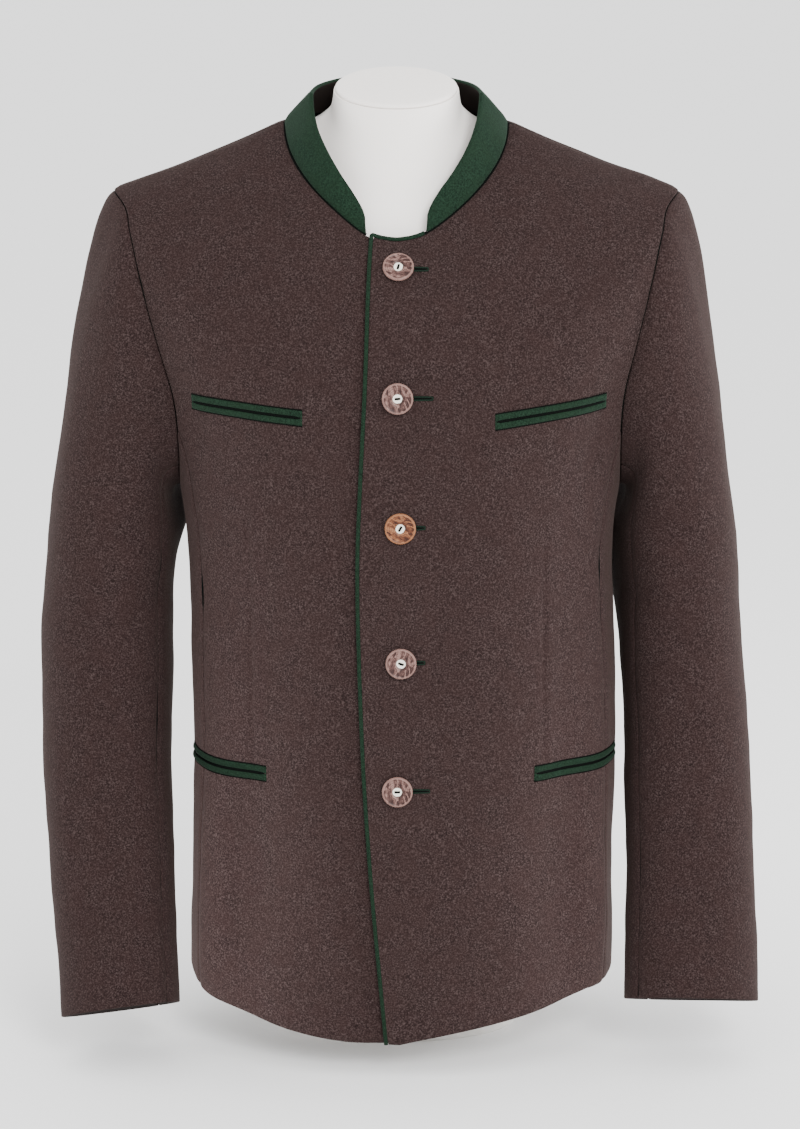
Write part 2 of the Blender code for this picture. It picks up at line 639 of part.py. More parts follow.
def sleeve_surface(side, turn, shares, rows):
    """Grid of the sleeve's outer surface, from the armhole (first row) to the cuff (last)."""
    sign = 1 if side == "left" else -1
    angle, down = armhole(turn % (2 * math.pi))
    points, normal, round_way, down_way = body_frame(sign * angle, down)
    step = math.radians(3)
    near = [armhole((turn + way * step) % (2 * math.pi)) for way in (-1, 1)]
    along = unit(body(sign * near[1][0], near[1][1]) - body(sign * near[0][0], near[0][1]))
    leave = unit(np.cross(normal, along)) * sign
    outward = sign * at_turn(HEAD_OUTWARD, turn)
    start_way = np.stack([outward, -HEAD_FORTH * np.sin(turn), -at_turn(HEAD_DOWNWARD, turn)], axis=-1)
    bend = at_turn(HEAD_TURN, turn)[:, None] * math.pi / 2
    start_normal = normal * np.cos(bend) - leave * np.sin(bend)
    start = points + leave * ARMHOLE_GAP
    top_z = max(row[0] for row in SLEEVE_SECTIONS[side].values())
    end = sleeve_section(side, np.full(len(turn), top_z), turn)
    lower = sleeve_section(side, np.full(len(turn), top_z - 0.02), turn)
    length = np.linalg.norm(end - start, axis=-1, keepdims=True)
    first = start + unit(start_way) * at_turn(HEAD_START_REACH, turn)[:, None]
    lean = np.stack([-sign * at_turn(HEAD_LEAN, turn), 0 * turn, 0 * turn], axis=-1)
    second = end + (unit(end - lower) + lean) * at_turn(HEAD_END_SHARE, turn)[:, None] * length
    grid = []
    for share in shares:
        rest = 1 - share
        near_start = start * rest**3 + first * 3 * rest**2 * share
        grid.append(near_start + second * 3 * rest * share**2 + end * share**3)
    cuff_z = min(row[0] for row in SLEEVE_SECTIONS[side].values())
    for z in np.linspace(top_z, cuff_z, rows + 1)[1:]:
        grid.append(sleeve_section(side, np.full(len(turn), z), turn))
    return np.array(grid), start_normal


def make_sleeves(side, turns, finish):
    """Top and under sleeve, parted at the shared turns nearest the sleeve's two seams."""
    turn = np.concatenate([turns[0], turns[1][1:], turns[2][1:-1]])
    points, start_normal = sleeve_surface(side, turn, HEAD_SHARES, SLEEVE_ROWS)
    across = np.roll(points, -1, axis=1) - np.roll(points, 1, axis=1)
    sign = 1 if side == "left" else -1
    normal = unit(np.cross(across, np.gradient(points, axis=0))) * sign
    normal[0] = start_normal
    fore = int(np.argmin(np.abs(turn - FOREARM_SEAM[side])))
    hind = int(np.argmin(np.abs(turn - HINDARM_SEAM)))
    pieces = {"top": [*range(hind, len(turn)), *range(fore + 1)], "under": [*range(fore, hind + 1)]}
    for name, columns in pieces.items():
        if side == "left":
            columns = columns[::-1]
        piece = f"{name}_sleeve_{side}"
        cut_wall(piece, points[:, columns], normal[:, columns], ["left", "right"], CLOTH, finish)


def collar_height(angle, end):
    """Share of the collar's full height, rounded off at its front corners."""
    from_end = np.clip((np.abs(angle) - end) / COLLAR_CORNER, 0, 1)
    return 1 - COLLAR_CORNER_CUT * (1 - np.sqrt(1 - (1 - from_end) ** 2))


def collar_end():
    return math.asin(COLLAR_END_X / COAT_RINGS["neck seam"][RING_COLUMNS.index("half_width")])


def neck_angles(side):
    """Angles of one front's vertices along the neck seam, from its edge to the shoulder."""
    sign = 1 if side == "left" else -1
    edge = front_edge(side, np.zeros(1))[0] * sign
    return np.linspace(edge, SHOULDER_SEAM, FRONT_COLUMNS)


def make_collar(finish):
    """Stand collar, from one front end round the back of the neck to the other."""
    end = collar_end()
    back = np.linspace(SHOULDER_SEAM, CENTRE_BACK, BACK_COLUMNS)[1:]
    half = {}
    for side in ("left", "right"):
        half[side] = [angle for angle in neck_angles(side) if angle > end + math.radians(2)]
    corner = [end, end + (half["left"][0] - end) / 2]
    left_half = np.concatenate([corner, half["left"], back])
    right_half = np.concatenate([corner, half["right"], back[:-1]])
    signed = np.concatenate([left_half, -right_half[::-1]])
    base, normal, _, down_way = body_frame(signed, np.zeros(len(signed)))
    sink = np.where(signed < 0, lap_depth(base[:, 0], base[:, 2]), 0.0)[:, None]
    from_front = np.minimum(np.abs(signed), math.pi / 2)
    twisted = signed + COLLAR_TWIST * np.sin(2 * from_front) * np.sign(signed)
    top = ring_point(COLLAR_TOP, twisted, dip_at_neck)
    top = base + (top - base) * collar_height(signed, end)[:, None]
    base = base - normal * sink - down_way * 2 * SEAM_DRAW
    top = top - normal * sink
    share = np.linspace(1, 0, COLLAR_ROWS)[:, None, None]
    points = base[None] * (1 - share) + top[None] * share
    normals = unit(np.cross(np.gradient(points, axis=0), np.gradient(points, axis=1)))
    normals[-1] = normal
    inner = points - normals * COLLAR_CLOTH
    return add_wall("collar", points, inner, finish)


def cord(name, path, radius, finish):
    """Solid cord of a round section along a path of points, closed at its ends."""
    turns = np.linspace(0, 2 * math.pi, CORD_SIDES, endpoint=False)
    along = unit(np.gradient(path, axis=0))
    sideways = unit(np.cross(along, (0.0, 1.0, 0.0)))
    points = [place + radius * (math.cos(t) * across + math.sin(t) * np.cross(way, across))
              for place, way, across in zip(path, along, sideways) for t in turns]
    faces = []
    for ring in range(len(path) - 1):
        for step in range(CORD_SIDES):
            a, b = ring * CORD_SIDES + step, ring * CORD_SIDES + (step + 1) % CORD_SIDES
            faces.append((a, b, b + CORD_SIDES, a + CORD_SIDES))
    last = (len(path) - 1) * CORD_SIDES
    faces.append(tuple(range(CORD_SIDES - 1, -1, -1)))
    faces.append(tuple(range(last, last + CORD_SIDES)))
    return add_mesh(name, points, faces, finish)


def make_piping(lines, finish):
    """Green cord along the left front's top end and down its edge, beside the cloth's own vertices."""
    end = collar_end() - math.radians(1.0)
    top_angle = np.array([end] + [a for a in neck_angles("left")[::-1] if a < end])
    points, normal, round_way, down_way = body_frame(top_angle, np.zeros(len(top_angle)))
    reach = PIPING_RADIUS + PIPING_GAP
    over_top = (points - down_way * reach - normal * CLOTH / 2)[:-1]
    corner = points[-1] - normal[-1] * CLOTH / 2
    round_corner = []
    for turn in np.radians(CORNER_TURNS):
        way = down_way[-1] * math.cos(turn) + round_way[-1] * math.sin(turn)
        round_corner.append(corner - way * reach)
    shoulder, front_hole, _, _, below = lines
    level = edge_lines(front_hole, SIDE_SEAM, shoulder, below)[2]
    points, normal, round_way, _ = body_frame(front_edge("left", level), level)
    down_edge = (points - round_way * reach - normal * CLOTH / 2)[1:]
    path = np.concatenate([over_top, round_corner, down_edge])
    return cord("front_piping", path, PIPING_RADIUS, finish)


def make_strip(name, angle, down, finish):
    """Pocket lip: a thin strip lying on the body, between two lines of angle and distance down."""
    points, normal = body_wall(angle, down)
    outer = points + normal * (TRIM_LIFT + LIP_CLOTH)
    inner = points + normal * TRIM_LIFT
    return add_wall(name, outer, inner, finish)


def make_chest_pocket(side, finish):
    """Two lips on a slant across the chest."""
    (x0, z0), (x1, z1) = CHEST_POCKET_ENDS[side]
    share = np.linspace(0, 1, 12)
    for lip, (low, high) in LIPS.items():
        x = np.stack([x0 + (x1 - x0) * share] * 3)
        z = z0 + (z1 - z0) * share + np.array([high, (low + high) / 2, low])[:, None]
        angle, down = locate(0, x, z, math.radians(-89), math.radians(89))
        make_strip(f"chest_pocket_{lip}_{side}", angle, down, finish)


def make_hip_pocket(side, finish):
    """Two level lips that run from the front round onto the side panel."""
    first, last = (math.radians(a) for a in HIP_POCKET_ANGLES[side])
    angle = np.stack([np.linspace(first, last, 18)] * 3)
    for lip, (low, high) in LIPS.items():
        z = HIP_POCKET_Z[side] + np.array([high, (low + high) / 2, low])[:, None] + np.zeros(angle.shape)
        make_strip(f"hip_pocket_{lip}_{side}", angle, find_down(angle, z), finish)


def turned(name, profile, steps, finish):
    """Solid of revolution about Z from a profile of (radius, height), listed from bottom to top."""
    turns = np.linspace(0, 2 * math.pi, steps, endpoint=False)
    points, faces = [], []
    for radius, height in profile:
        points += [(radius * math.cos(t), radius * math.sin(t), height) for t in turns]
    for level in range(len(profile) - 1):
        for step in range(steps):
            a, b = level * steps + step, level * steps + (step + 1) % steps
            faces.append((a, b, b + steps, a + steps))
    faces.append(tuple(range(steps - 1, -1, -1)))
    top = (len(profile) - 1) * steps
    faces.append(tuple(range(top, top + steps)))
    return add_mesh(name, points, faces, finish)


def button_profile():
    rim = 0.0012
    return (
        (BUTTON_RADIUS - 2 * rim, 0.0),
        (BUTTON_RADIUS, 1.3 * rim),
        (BUTTON_RADIUS, BUTTON_THICKNESS - 0.8 * rim),
        (BUTTON_RADIUS - rim, BUTTON_THICKNESS),
        (BUTTON_DISH_RADIUS + rim, BUTTON_THICKNESS - 0.5 * BUTTON_DISH_DEPTH),
        (BUTTON_DISH_RADIUS, BUTTON_THICKNESS - 2 * BUTTON_DISH_DEPTH),
    )


def button_seat(x, z):
    """Centre of a button's back, clear of the cloth all round it, and the way it faces."""
    middle = locate(0, np.array([x]), np.array([z]), math.radians(-30), math.radians(30))
    centre = body(*middle)[0]
    turns = np.linspace(0, 2 * math.pi, 12, endpoint=False)
    around_x = x + BUTTON_RADIUS * np.cos(turns)
    around_z = z + BUTTON_RADIUS * np.sin(turns)
    rim = body(*locate(0, around_x, around_z, math.radians(-35), math.radians(35)))
    out = unit(np.cross(rim[3] - rim[9], rim[6] - rim[0]))
    lift = max(0.0, float(((rim - centre) @ out).max())) + TRIM_LIFT
    return centre + out * lift, out


def cut_hole(made, x, finish):
    """Drills one of a button's holes, at x from its middle."""
    profile = ((BUTTON_HOLE_RADIUS, -BUTTON_THICKNESS), (BUTTON_HOLE_RADIUS, 2 * BUTTON_THICKNESS))
    drill = turned(f"{made.name}_drill", profile, 8, finish)
    drill.parent = made
    drill.location.x = x
    drill.hide_render = True
    drill.display_type = "WIRE"
    cut = made.modifiers.new("hole", "BOOLEAN")
    cut.operation = "DIFFERENCE"
    cut.solver = "EXACT"
    cut.object = drill


def make_button(name, x, z, turn, finish):
    """Two-hole horn button, seated on the left front and facing out."""
    seat, out = button_seat(x, z)
    made = turned(name, button_profile(), 24, finish)
    for side in (-1, 1):
        cut_hole(made, side * BUTTON_HOLE_PITCH / 2, finish)
    across = unit(np.cross((0.0, 0.0, 1.0), out))
    up = np.cross(out, across)
    tilt = math.radians(turn)
    first = across * math.cos(tilt) + up * math.sin(tilt)
    second_axis = np.cross(out, first)
    made.rotation_mode = "QUATERNION"
    made.rotation_quaternion = Matrix((first, second_axis, out)).transposed().to_quaternion()
    made.location = tuple(seat)
    return made


def form_depth(angle, down):
    """How deep the form lies under the coat's outer face: seated on the shoulders only."""
    depth = FORM_SEAT_DEPTH + FORM_NECK_EXTRA[0] * (1 - smoothstep(down / FORM_NECK_EXTRA[1]))
    off_neck = down - FORM_SHOULDER_EXTRA[1]
    depth = depth + FORM_SHOULDER_EXTRA[0] * smoothstep(off_neck / FORM_SHOULDER_EXTRA[2])
    off_ridge = np.abs(np.abs(angle) - math.pi / 2) - FORM_CHEST_EXTRA[1]
    depth = depth + FORM_CHEST_EXTRA[0] * smoothstep(off_ridge / FORM_CHEST_EXTRA[2])
    return depth + FORM_WAIST_EXTRA[0] * smoothstep((down - FORM_WAIST_EXTRA[1]) / FORM_WAIST_EXTRA[2])


def make_form(finish):
    """Limbless torso with its neck, smooth and closed."""
    angle = np.linspace(-math.pi, math.pi, FORM_COLUMNS, endpoint=False)
    rings = [ring_point(ring, angle, slanted) for ring in FORM_NECK_RINGS.values()]
    level = HEM * np.linspace(0, 1, FORM_ROWS) ** 1.15
    for down in level:
        here = np.full(FORM_COLUMNS, down)
        points, normal, _, _ = body_frame(angle, here, smooth_body)
        points = points - normal * form_depth(angle, here)[:, None]
        points[:, 2] = np.maximum(points[:, 2], FORM_BOTTOM_Z)
        rings.append(points)
        if down > HEM * 0.5 and points[:, 2].max() <= FORM_BOTTOM_Z + 1e-6:
            break
    points = np.array(rings)
    rows, columns = points.shape[:2]
    index = np.arange(rows * columns).reshape(rows, columns)
    faces = []
    for row in range(rows - 1):
        for col in range(columns):
            after = (col + 1) % columns
            faces.append((index[row, col], index[row + 1, col], index[row + 1, after], index[row, after]))
    faces.append(tuple(index[0]))
    faces.append(tuple(index[-1, ::-1]))
    return add_mesh("form_torso", points.reshape(-1, 3), faces, finish)


def make_neck_cap(finish):
    """Low domed cap that closes the form's slanted neck top."""
    angle = np.linspace(-math.pi, math.pi, FORM_COLUMNS, endpoint=False)
    rim = ring_point(FORM_NECK_RINGS["neck top"], angle, slanted)
    centre = rim.mean(axis=0)
    size = dict(zip(RING_COLUMNS, FORM_NECK_RINGS["neck top"]))
    slant = np.array([0, size["front"] + size["back"], size["z_back"] - size["z_front"]])
    up = unit(np.cross((1.0, 0.0, 0.0), slant))
    levels = ((1.0, 0.0), (1.0, 0.45), (0.93, 0.85), (0.78, 1.0))
    inset = 1 - NECK_CAP_INSET / size["half_width"]
    rings = []
    for share, rise in levels:
        lift = up * (SEAT_GAP + NECK_CAP_RISE * rise)
        rings.append(centre + (rim - centre) * inset * share + lift)
    points = np.concatenate(rings)
    steps = len(angle)
    faces = []
    for level in range(len(levels) - 1):
        for step in range(steps):
            a, b = level * steps + step, level * steps + (step + 1) % steps
            faces.append((a, b, b + steps, a + steps))
    faces.append(tuple(range(steps - 1, -1, -1)))
    top = (len(levels) - 1) * steps
    faces.append(tuple(range(top, top + steps)))
    return add_mesh("form_neck_cap", points, faces, finish)


def make_foot(finish):
    """Oval foot under the form, from its flat bottom down to the floor."""
    top = FORM_BOTTOM_Z - SEAT_GAP
    made = turned("form_foot", (
        (FOOT_RADIUS - FOOT_BEVEL, 0.0),
        (FOOT_RADIUS, FOOT_BEVEL),
        (FOOT_RADIUS, FOOT_THICKNESS - FOOT_BEVEL),
        (FOOT_RADIUS - FOOT_BEVEL, FOOT_THICKNESS),
        (FOOT_COLUMN_RADIUS + 3 * FOOT_BEVEL, FOOT_THICKNESS + FOOT_BEVEL),
        (FOOT_COLUMN_RADIUS, FOOT_THICKNESS + 4 * FOOT_BEVEL),
        (FOOT_COLUMN_RADIUS, top),
    ), 40, finish)
    for vertex in made.data.vertices:
        vertex.co.y *= FOOT_DEPTH_SHARE
    return made


def main():
    for old in list(bpy.data.objects):
        bpy.data.objects.remove(old)
    wool = material("brown_wool", WOOL, 0.92)
    green = material("green_wool", GREEN, 0.90)
    horn = material("horn", HORN, 0.45)
    jersey = material("cream_jersey", CREAM, 0.85)
    enamel = material("foot_enamel", ENAMEL, 0.45)
    turns = armhole_turns()
    lines = panel_lines(turns)
    for side in ("right", "left"):
        make_front(side, lines, wool)
        make_side(side, lines, wool)
        make_back(side, lines, wool)
        make_sleeves(side, turns, wool)
        make_chest_pocket(side, green)
        make_hip_pocket(side, green)
    make_collar(green)
    make_piping(lines, green)
    for name, (x, z, turn) in BUTTONS.items():
        make_button(name, x, z, turn, horn)
    make_form(jersey)
    make_neck_cap(jersey)
    make_foot(enamel)


main()
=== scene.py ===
"""Looks of the trachten coat: fine cloth shells, trimmings, buttons and a plain studio.

Metres, +Z up. The coat's front faces -Y and the wearer's left is at +X. The first tables are
the sizes that the solids were cut from, so each shell lies on the solid that it replaces.
"""

import math

import bpy
import numpy as np
from mathutils import Matrix

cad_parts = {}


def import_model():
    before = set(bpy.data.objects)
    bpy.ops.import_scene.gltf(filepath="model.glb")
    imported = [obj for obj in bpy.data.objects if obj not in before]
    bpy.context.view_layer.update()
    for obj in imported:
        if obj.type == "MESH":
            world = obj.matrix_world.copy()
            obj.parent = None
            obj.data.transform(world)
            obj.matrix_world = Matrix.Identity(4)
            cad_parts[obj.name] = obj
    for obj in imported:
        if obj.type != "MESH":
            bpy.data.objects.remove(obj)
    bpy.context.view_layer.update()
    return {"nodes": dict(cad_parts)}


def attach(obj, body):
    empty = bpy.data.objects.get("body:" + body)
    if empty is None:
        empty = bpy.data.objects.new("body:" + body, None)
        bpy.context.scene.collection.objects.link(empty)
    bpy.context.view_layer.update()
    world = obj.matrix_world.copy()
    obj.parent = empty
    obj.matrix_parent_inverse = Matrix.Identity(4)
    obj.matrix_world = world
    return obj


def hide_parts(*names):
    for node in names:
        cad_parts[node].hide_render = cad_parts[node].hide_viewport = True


# Cloth
CLOTH = 0.0022
COLLAR_CLOTH = 0.0030
SEAM_DRAW = 0.0002
ARMHOLE_GAP = 0.0006
LAYER_GAP = 0.0010
TRIM_LIFT = 0.0005

# The coat's body, ring by ring, from the neck seam down to the hem. "down" is the distance
# along the cloth, z_front, z_side and z_back are the ring's heights, and front and back are
# its depths before and behind mid_y. A larger fullness makes a squarer ring.
RING_COLUMNS = (
    "down", "z_front", "z_side", "z_back", "mid_x", "half_width", "mid_y", "front", "back", "fullness",
)
COAT_RINGS = {
    "neck seam": (0.000, 0.6865, 0.7775, 0.784, -0.003, 0.0932, 0.008, 0.0905, 0.060, 2.00),
    "yoke": (0.075, 0.644, 0.7485, 0.722, -0.003, 0.1655, 0.006, 0.119, 0.108, 2.15),
    "pad edge": (0.128, 0.607, 0.7300, 0.655, -0.003, 0.2165, 0.005, 0.128, 0.122, 2.15),
    "shoulder": (0.150, 0.592, 0.7215, 0.630, -0.003, 0.2340, 0.004, 0.130, 0.124, 2.15),
    "below pad": (0.176, 0.571, 0.7020, 0.606, -0.003, 0.2395, 0.004, 0.132, 0.125, 2.15),
    "armpit": (0.330, 0.492, 0.492, 0.492, 0.000, 0.1870, 0.001, 0.134, 0.125, 2.35),
    "ribs": (0.390, 0.432, 0.432, 0.432, 0.000, 0.1790, 0.000, 0.133, 0.121, 2.50),
    "waist": (0.460, 0.362, 0.362, 0.362, 0.002, 0.1795, 0.000, 0.131, 0.113, 2.45),
    "high hip": (0.540, 0.282, 0.282, 0.282, 0.004, 0.1800, 0.000, 0.134, 0.117, 2.45),
    "hip": (0.660, 0.162, 0.162, 0.162, 0.002, 0.1805, 0.000, 0.139, 0.127, 2.40),
    "hem": (0.772, 0.0275, 0.0580, 0.0560, 0.001, 0.1820, 0.000, 0.143, 0.132, 2.35),
}
SHOULDER_RINGS = 4
SHOULDER_ROUNDING = 1.6
NECK_DIP_START = 0.13
NECK_DIP_EASE = 0.10
HEM_DIP_REACH = {"right": math.radians(88), "left": math.radians(58)}
HEM_LEFT_POWER = 0.85

# Soft folds in the body. Columns: angle and height of the middle, reach round the body in
# degrees, reach up and down, and how far the cloth stands out there.
COAT_FOLDS = {
    "right hip ridge": (-61, 0.122, 9, 0.120, 0.0055),
    "right hip trough": (-44, 0.172, 9, 0.130, -0.0065),
    "left hip ridge": (63, 0.132, 9, 0.110, 0.0055),
    "left hip trough": (48, 0.182, 9, 0.120, -0.0060),
    "right waist hollow": (-52, 0.392, 13, 0.080, -0.0030),
    "left waist hollow": (52, 0.382, 13, 0.090, -0.0035),
    "right chest hollow": (-57, 0.532, 8, 0.045, -0.0025),
    "left chest hollow": (55, 0.522, 9, 0.055, -0.0035),
    "right back fold": (-128, 0.262, 9, 0.200, 0.0045),
    "left back fold": (131, 0.242, 10, 0.190, 0.0040),
    "right blade": (-152, 0.592, 18, 0.090, 0.0040),
    "left blade": (152, 0.597, 18, 0.090, 0.0040),
    "back waist": (180, 0.352, 20, 0.090, -0.0035),
}
FOLD_RADIUS = 0.15

# Seams of the body, as angles round it from the centre front
SIDE_SEAM = math.radians(68.5)
BACK_SEAM = math.radians(118)
SHOULDER_SEAM = math.pi / 2
CENTRE_BACK = math.pi

# The front opening: the wearer's left front lies on the right one. Columns: z and x.
LAP_EDGE = {
    "neck": (0.692, -0.0225),
    "top button": (0.669, -0.0235),
    "chest": (0.577, -0.0265),
    "waist": (0.417, -0.0330),
    "hip": (0.277, -0.0293),
    "skirt": (0.177, -0.0232),
    "hem": (0.027, -0.0100),
}
UNDERLAP_X = 0.025
LAP_RAMP = (0.006, 0.034)

# Armhole, as an egg in side view
ARMHOLE_TOP = 0.7215
ARMHOLE_BOTTOM = 0.474
ARMHOLE_MID_Y = 0.004
ARMHOLE_FRONT = 0.076
ARMHOLE_BACK = 0.068
ARMHOLE_HIGH_FULLNESS = 0.08

# Sleeves: sections from the upper arm to the cuff. outer and inner are distances from the
# coat's middle, slope is the rise towards the front and roll the rise outwards.
SLEEVE_COLUMNS = ("z", "outer", "inner", "mid_y", "half_depth", "slope", "roll")
SLEEVE_SECTIONS = {
    "right": {
        "upper arm": (0.432, 0.2985, 0.1890, 0.006, 0.0680, 0.00, 0.00),
        "elbow": (0.332, 0.3050, 0.1940, 0.002, 0.0660, 0.08, 0.00),
        "below elbow": (0.242, 0.3035, 0.1945, -0.020, 0.0620, 0.26, 0.00),
        "forearm": (0.162, 0.2970, 0.1915, -0.048, 0.0565, 0.33, -0.04),
        "wrist": (0.092, 0.2895, 0.1885, -0.076, 0.0520, 0.36, -0.10),
        "cuff": (0.043, 0.2845, 0.1850, -0.098, 0.0500, 0.37, -0.14),
    },
    "left": {
        "upper arm": (0.432, 0.2850, 0.1845, 0.006, 0.0700, 0.00, 0.00),
        "elbow": (0.332, 0.2920, 0.1885, 0.002, 0.0670, 0.08, 0.00),
        "below elbow": (0.242, 0.2975, 0.1915, -0.020, 0.0610, 0.26, 0.00),
        "forearm": (0.162, 0.2995, 0.1915, -0.048, 0.0545, 0.33, 0.00),
        "wrist": (0.092, 0.3010, 0.1905, -0.076, 0.0490, 0.36, 0.00),
        "cuff": (0.051, 0.3010, 0.1880, -0.096, 0.0465, 0.37, -0.02),
    },
}
SLEEVE_FULLNESS = 2.2
FOREARM_SEAM = {"right": math.radians(152), "left": math.radians(138)}
HINDARM_SEAM = math.radians(242)
# How the sleeve head leaves the armhole: at the top, the front and back, and the bottom
HEAD_ANGLES = (0, 90, 180)
HEAD_OUTWARD = (0.75, 0.85, 1.00)
HEAD_DOWNWARD = (0.66, 0.40, -0.05)
HEAD_FORTH = 0.38
HEAD_START_REACH = (0.024, 0.032, 0.016)
HEAD_END_SHARE = (0.72, 0.58, 0.40)
HEAD_LEAN = (0.06, 0.03, 0.0)
HEAD_TURN = (0.0, 0.25, 1.00)
HEAD_LOOK = math.radians(3)
HEAD_END_LOOK = 0.02
# Soft folds in the sleeves, with the same columns as the body's
SLEEVE_FOLDS = {
    "right": {
        "elbow crease": (95, 0.352, 38, 0.016, -0.0030),
        "elbow roll": (95, 0.312, 42, 0.020, 0.0022),
        "inner crease": (140, 0.387, 34, 0.016, -0.0025),
        "underarm slack": (216, 0.450, 24, 0.030, 0.0170),
        "elbow point": (265, 0.337, 40, 0.055, 0.0030),
        "forearm hollow": (105, 0.192, 30, 0.080, -0.0025),
    },
    "left": {
        "elbow crease": (95, 0.352, 38, 0.016, -0.0030),
        "elbow roll": (95, 0.312, 42, 0.020, 0.0022),
        "inner crease": (140, 0.387, 34, 0.016, -0.0030),
        "underarm slack": (218, 0.405, 25, 0.055, 0.0145),
        "high underarm slack": (222, 0.450, 26, 0.025, 0.0090),
        "elbow point": (265, 0.337, 40, 0.055, 0.0030),
        "forearm hollow": (105, 0.192, 30, 0.080, -0.0025),
    },
}

# Collar: the base is the neck seam, the top edge a smaller ring
COLLAR_TOP = (0.000, 0.703, 0.803, 0.815, -0.003, 0.0700, -0.016, 0.062, 0.080, 2.00)
COLLAR_END_X = 0.0245
COLLAR_TWIST = math.radians(13)
COLLAR_CORNER = math.radians(9)
COLLAR_CORNER_CUT = 0.40
COLLAR_CROWN = 0.0008
COLLAR_CROWDING = 0.35
COLLAR_CROWDING_POWER = 1.7

PIPING_RADIUS = 0.0011
PIPING_GAP = 0.0004
PIPING_SHORT = math.radians(1.0)
PIPING_SINK = CLOTH * 0.42

# Pockets: two green lips each, with a dark slit between, which is painted shade: a near-black strip
LIP_WIDTH = 0.0058
LIP_CLOTH = 0.0013
SLIT = 0.0009
CHEST_POCKET_ENDS = {
    "right": ((-0.1685, 0.5585), (-0.0785, 0.5500)),
    "left": ((0.0765, 0.5468), (0.1675, 0.5585)),
}
HIP_POCKET_Z = {"right": 0.2515, "left": 0.2535}
HIP_POCKET_ANGLES = {"right": (-82, -40.5), "left": (36.5, 80)}

# Buttons. Columns: x, z and the turn of the thread in degrees.
BUTTON_RADIUS = 0.0127
BUTTONS = {
    "button_1": (-0.0014, 0.6670, 75),
    "button_2": (-0.0020, 0.5665, 5),
    "button_3": (0.0002, 0.4620, 60),
    "button_4": (0.0008, 0.3500, -20),
    "button_5": (-0.0022, 0.2435, 0),
}

# Dress form: neck rings of its own, then the coat's shape before its folds, set this deep
# under the cloth's outer face
FORM_NECK_RINGS = {
    "neck top": (0.000, 0.7910, 0.8040, 0.8180, -0.003, 0.0515, 0.002, 0.0560, 0.0540, 2.00),
    "neck": (0.000, 0.7590, 0.7920, 0.8020, -0.003, 0.0535, 0.002, 0.0565, 0.0550, 2.00),
    "neck root": (0.000, 0.7240, 0.7810, 0.7910, -0.003, 0.0640, 0.003, 0.0600, 0.0560, 2.00),
}
FORM_SEAT_DEPTH = 0.0031
FORM_NECK_EXTRA = (0.0035, 0.022)
FORM_SHOULDER_EXTRA = (0.0085, 0.095, 0.050)
FORM_CHEST_EXTRA = (0.0075, math.radians(10), math.radians(26))
FORM_WAIST_EXTRA = (0.0060, 0.200, 0.150)
FORM_BOTTOM_Z = 0.108
FORM_EXTRA_DEPTH = 0.0002
FORM_SHARP = math.radians(50)
NECK_CAP_RISE = 0.006
NECK_CAP_INSET = 0.0012
NECK_CAP_EDGE = 0.35
SEAT_GAP = 0.0003

# The solids' own division, which places the sleeves' seams
ARMHOLE_ROWS = 9
SIDE_COLUMNS = 7
LEVEL_SHARE = 0.55
ROW_SWEEP = 2.0
SEARCH_STEPS = 24

# How far from the centre front points on the two fronts are looked for
FRONT_REACH = math.radians(30)
BUTTON_REACH = math.radians(35)
POCKET_REACH = math.radians(89)

# How finely the shells are divided, and how soon their rows settle
SIDE_SETTLING = 3
HEAD_BLEND = 8
SHOULDER_FINE = 26
ARMHOLE_FINE = 52
SIDE_FINE = 88
FRONT_FINE = 92
SIDE_PANEL_FINE = 44
BACK_FINE = 72
HEAD_FINE = 34
SLEEVE_FINE = 84
TOP_SLEEVE_FINE = 74
UNDER_SLEEVE_FINE = 50
COLLAR_FINE = 220
COLLAR_ROWS_FINE = 12
FORM_NECK_FINE = 25
FORM_ROWS_FINE = 90
FORM_ROW_SWEEP = 1.15
FORM_COLUMNS_FINE = 120

# Cloth edges: how far they bulge, and the groove pressed along each seam
RIM_STEPS = 4
RIM_BULGE = 0.0007
GROOVE = 0.0005
GROOVE_REACH = 0.0032
SEAM_RIDGE = 0.0003
SEAM_RIDGE_AT = 0.0085
SEAM_RIDGE_REACH = 0.0050

# Long low waves of the cloth. Columns: direction as x, y and z, length of a wave, rise, phase.
WAVES = {
    "broad level": (0.3, 0.2, 1.0, 0.115, 0.00035, 0.4),
    "broad slant": (1.0, 0.5, 0.6, 0.087, 0.00030, 2.1),
    "upright": (1.0, -0.8, 0.1, 0.061, 0.00022, 4.0),
    "short slant": (-0.7, 0.4, 0.9, 0.043, 0.00014, 1.2),
    "short level": (0.2, 0.9, 1.0, 0.029, 0.00009, 5.3),
}
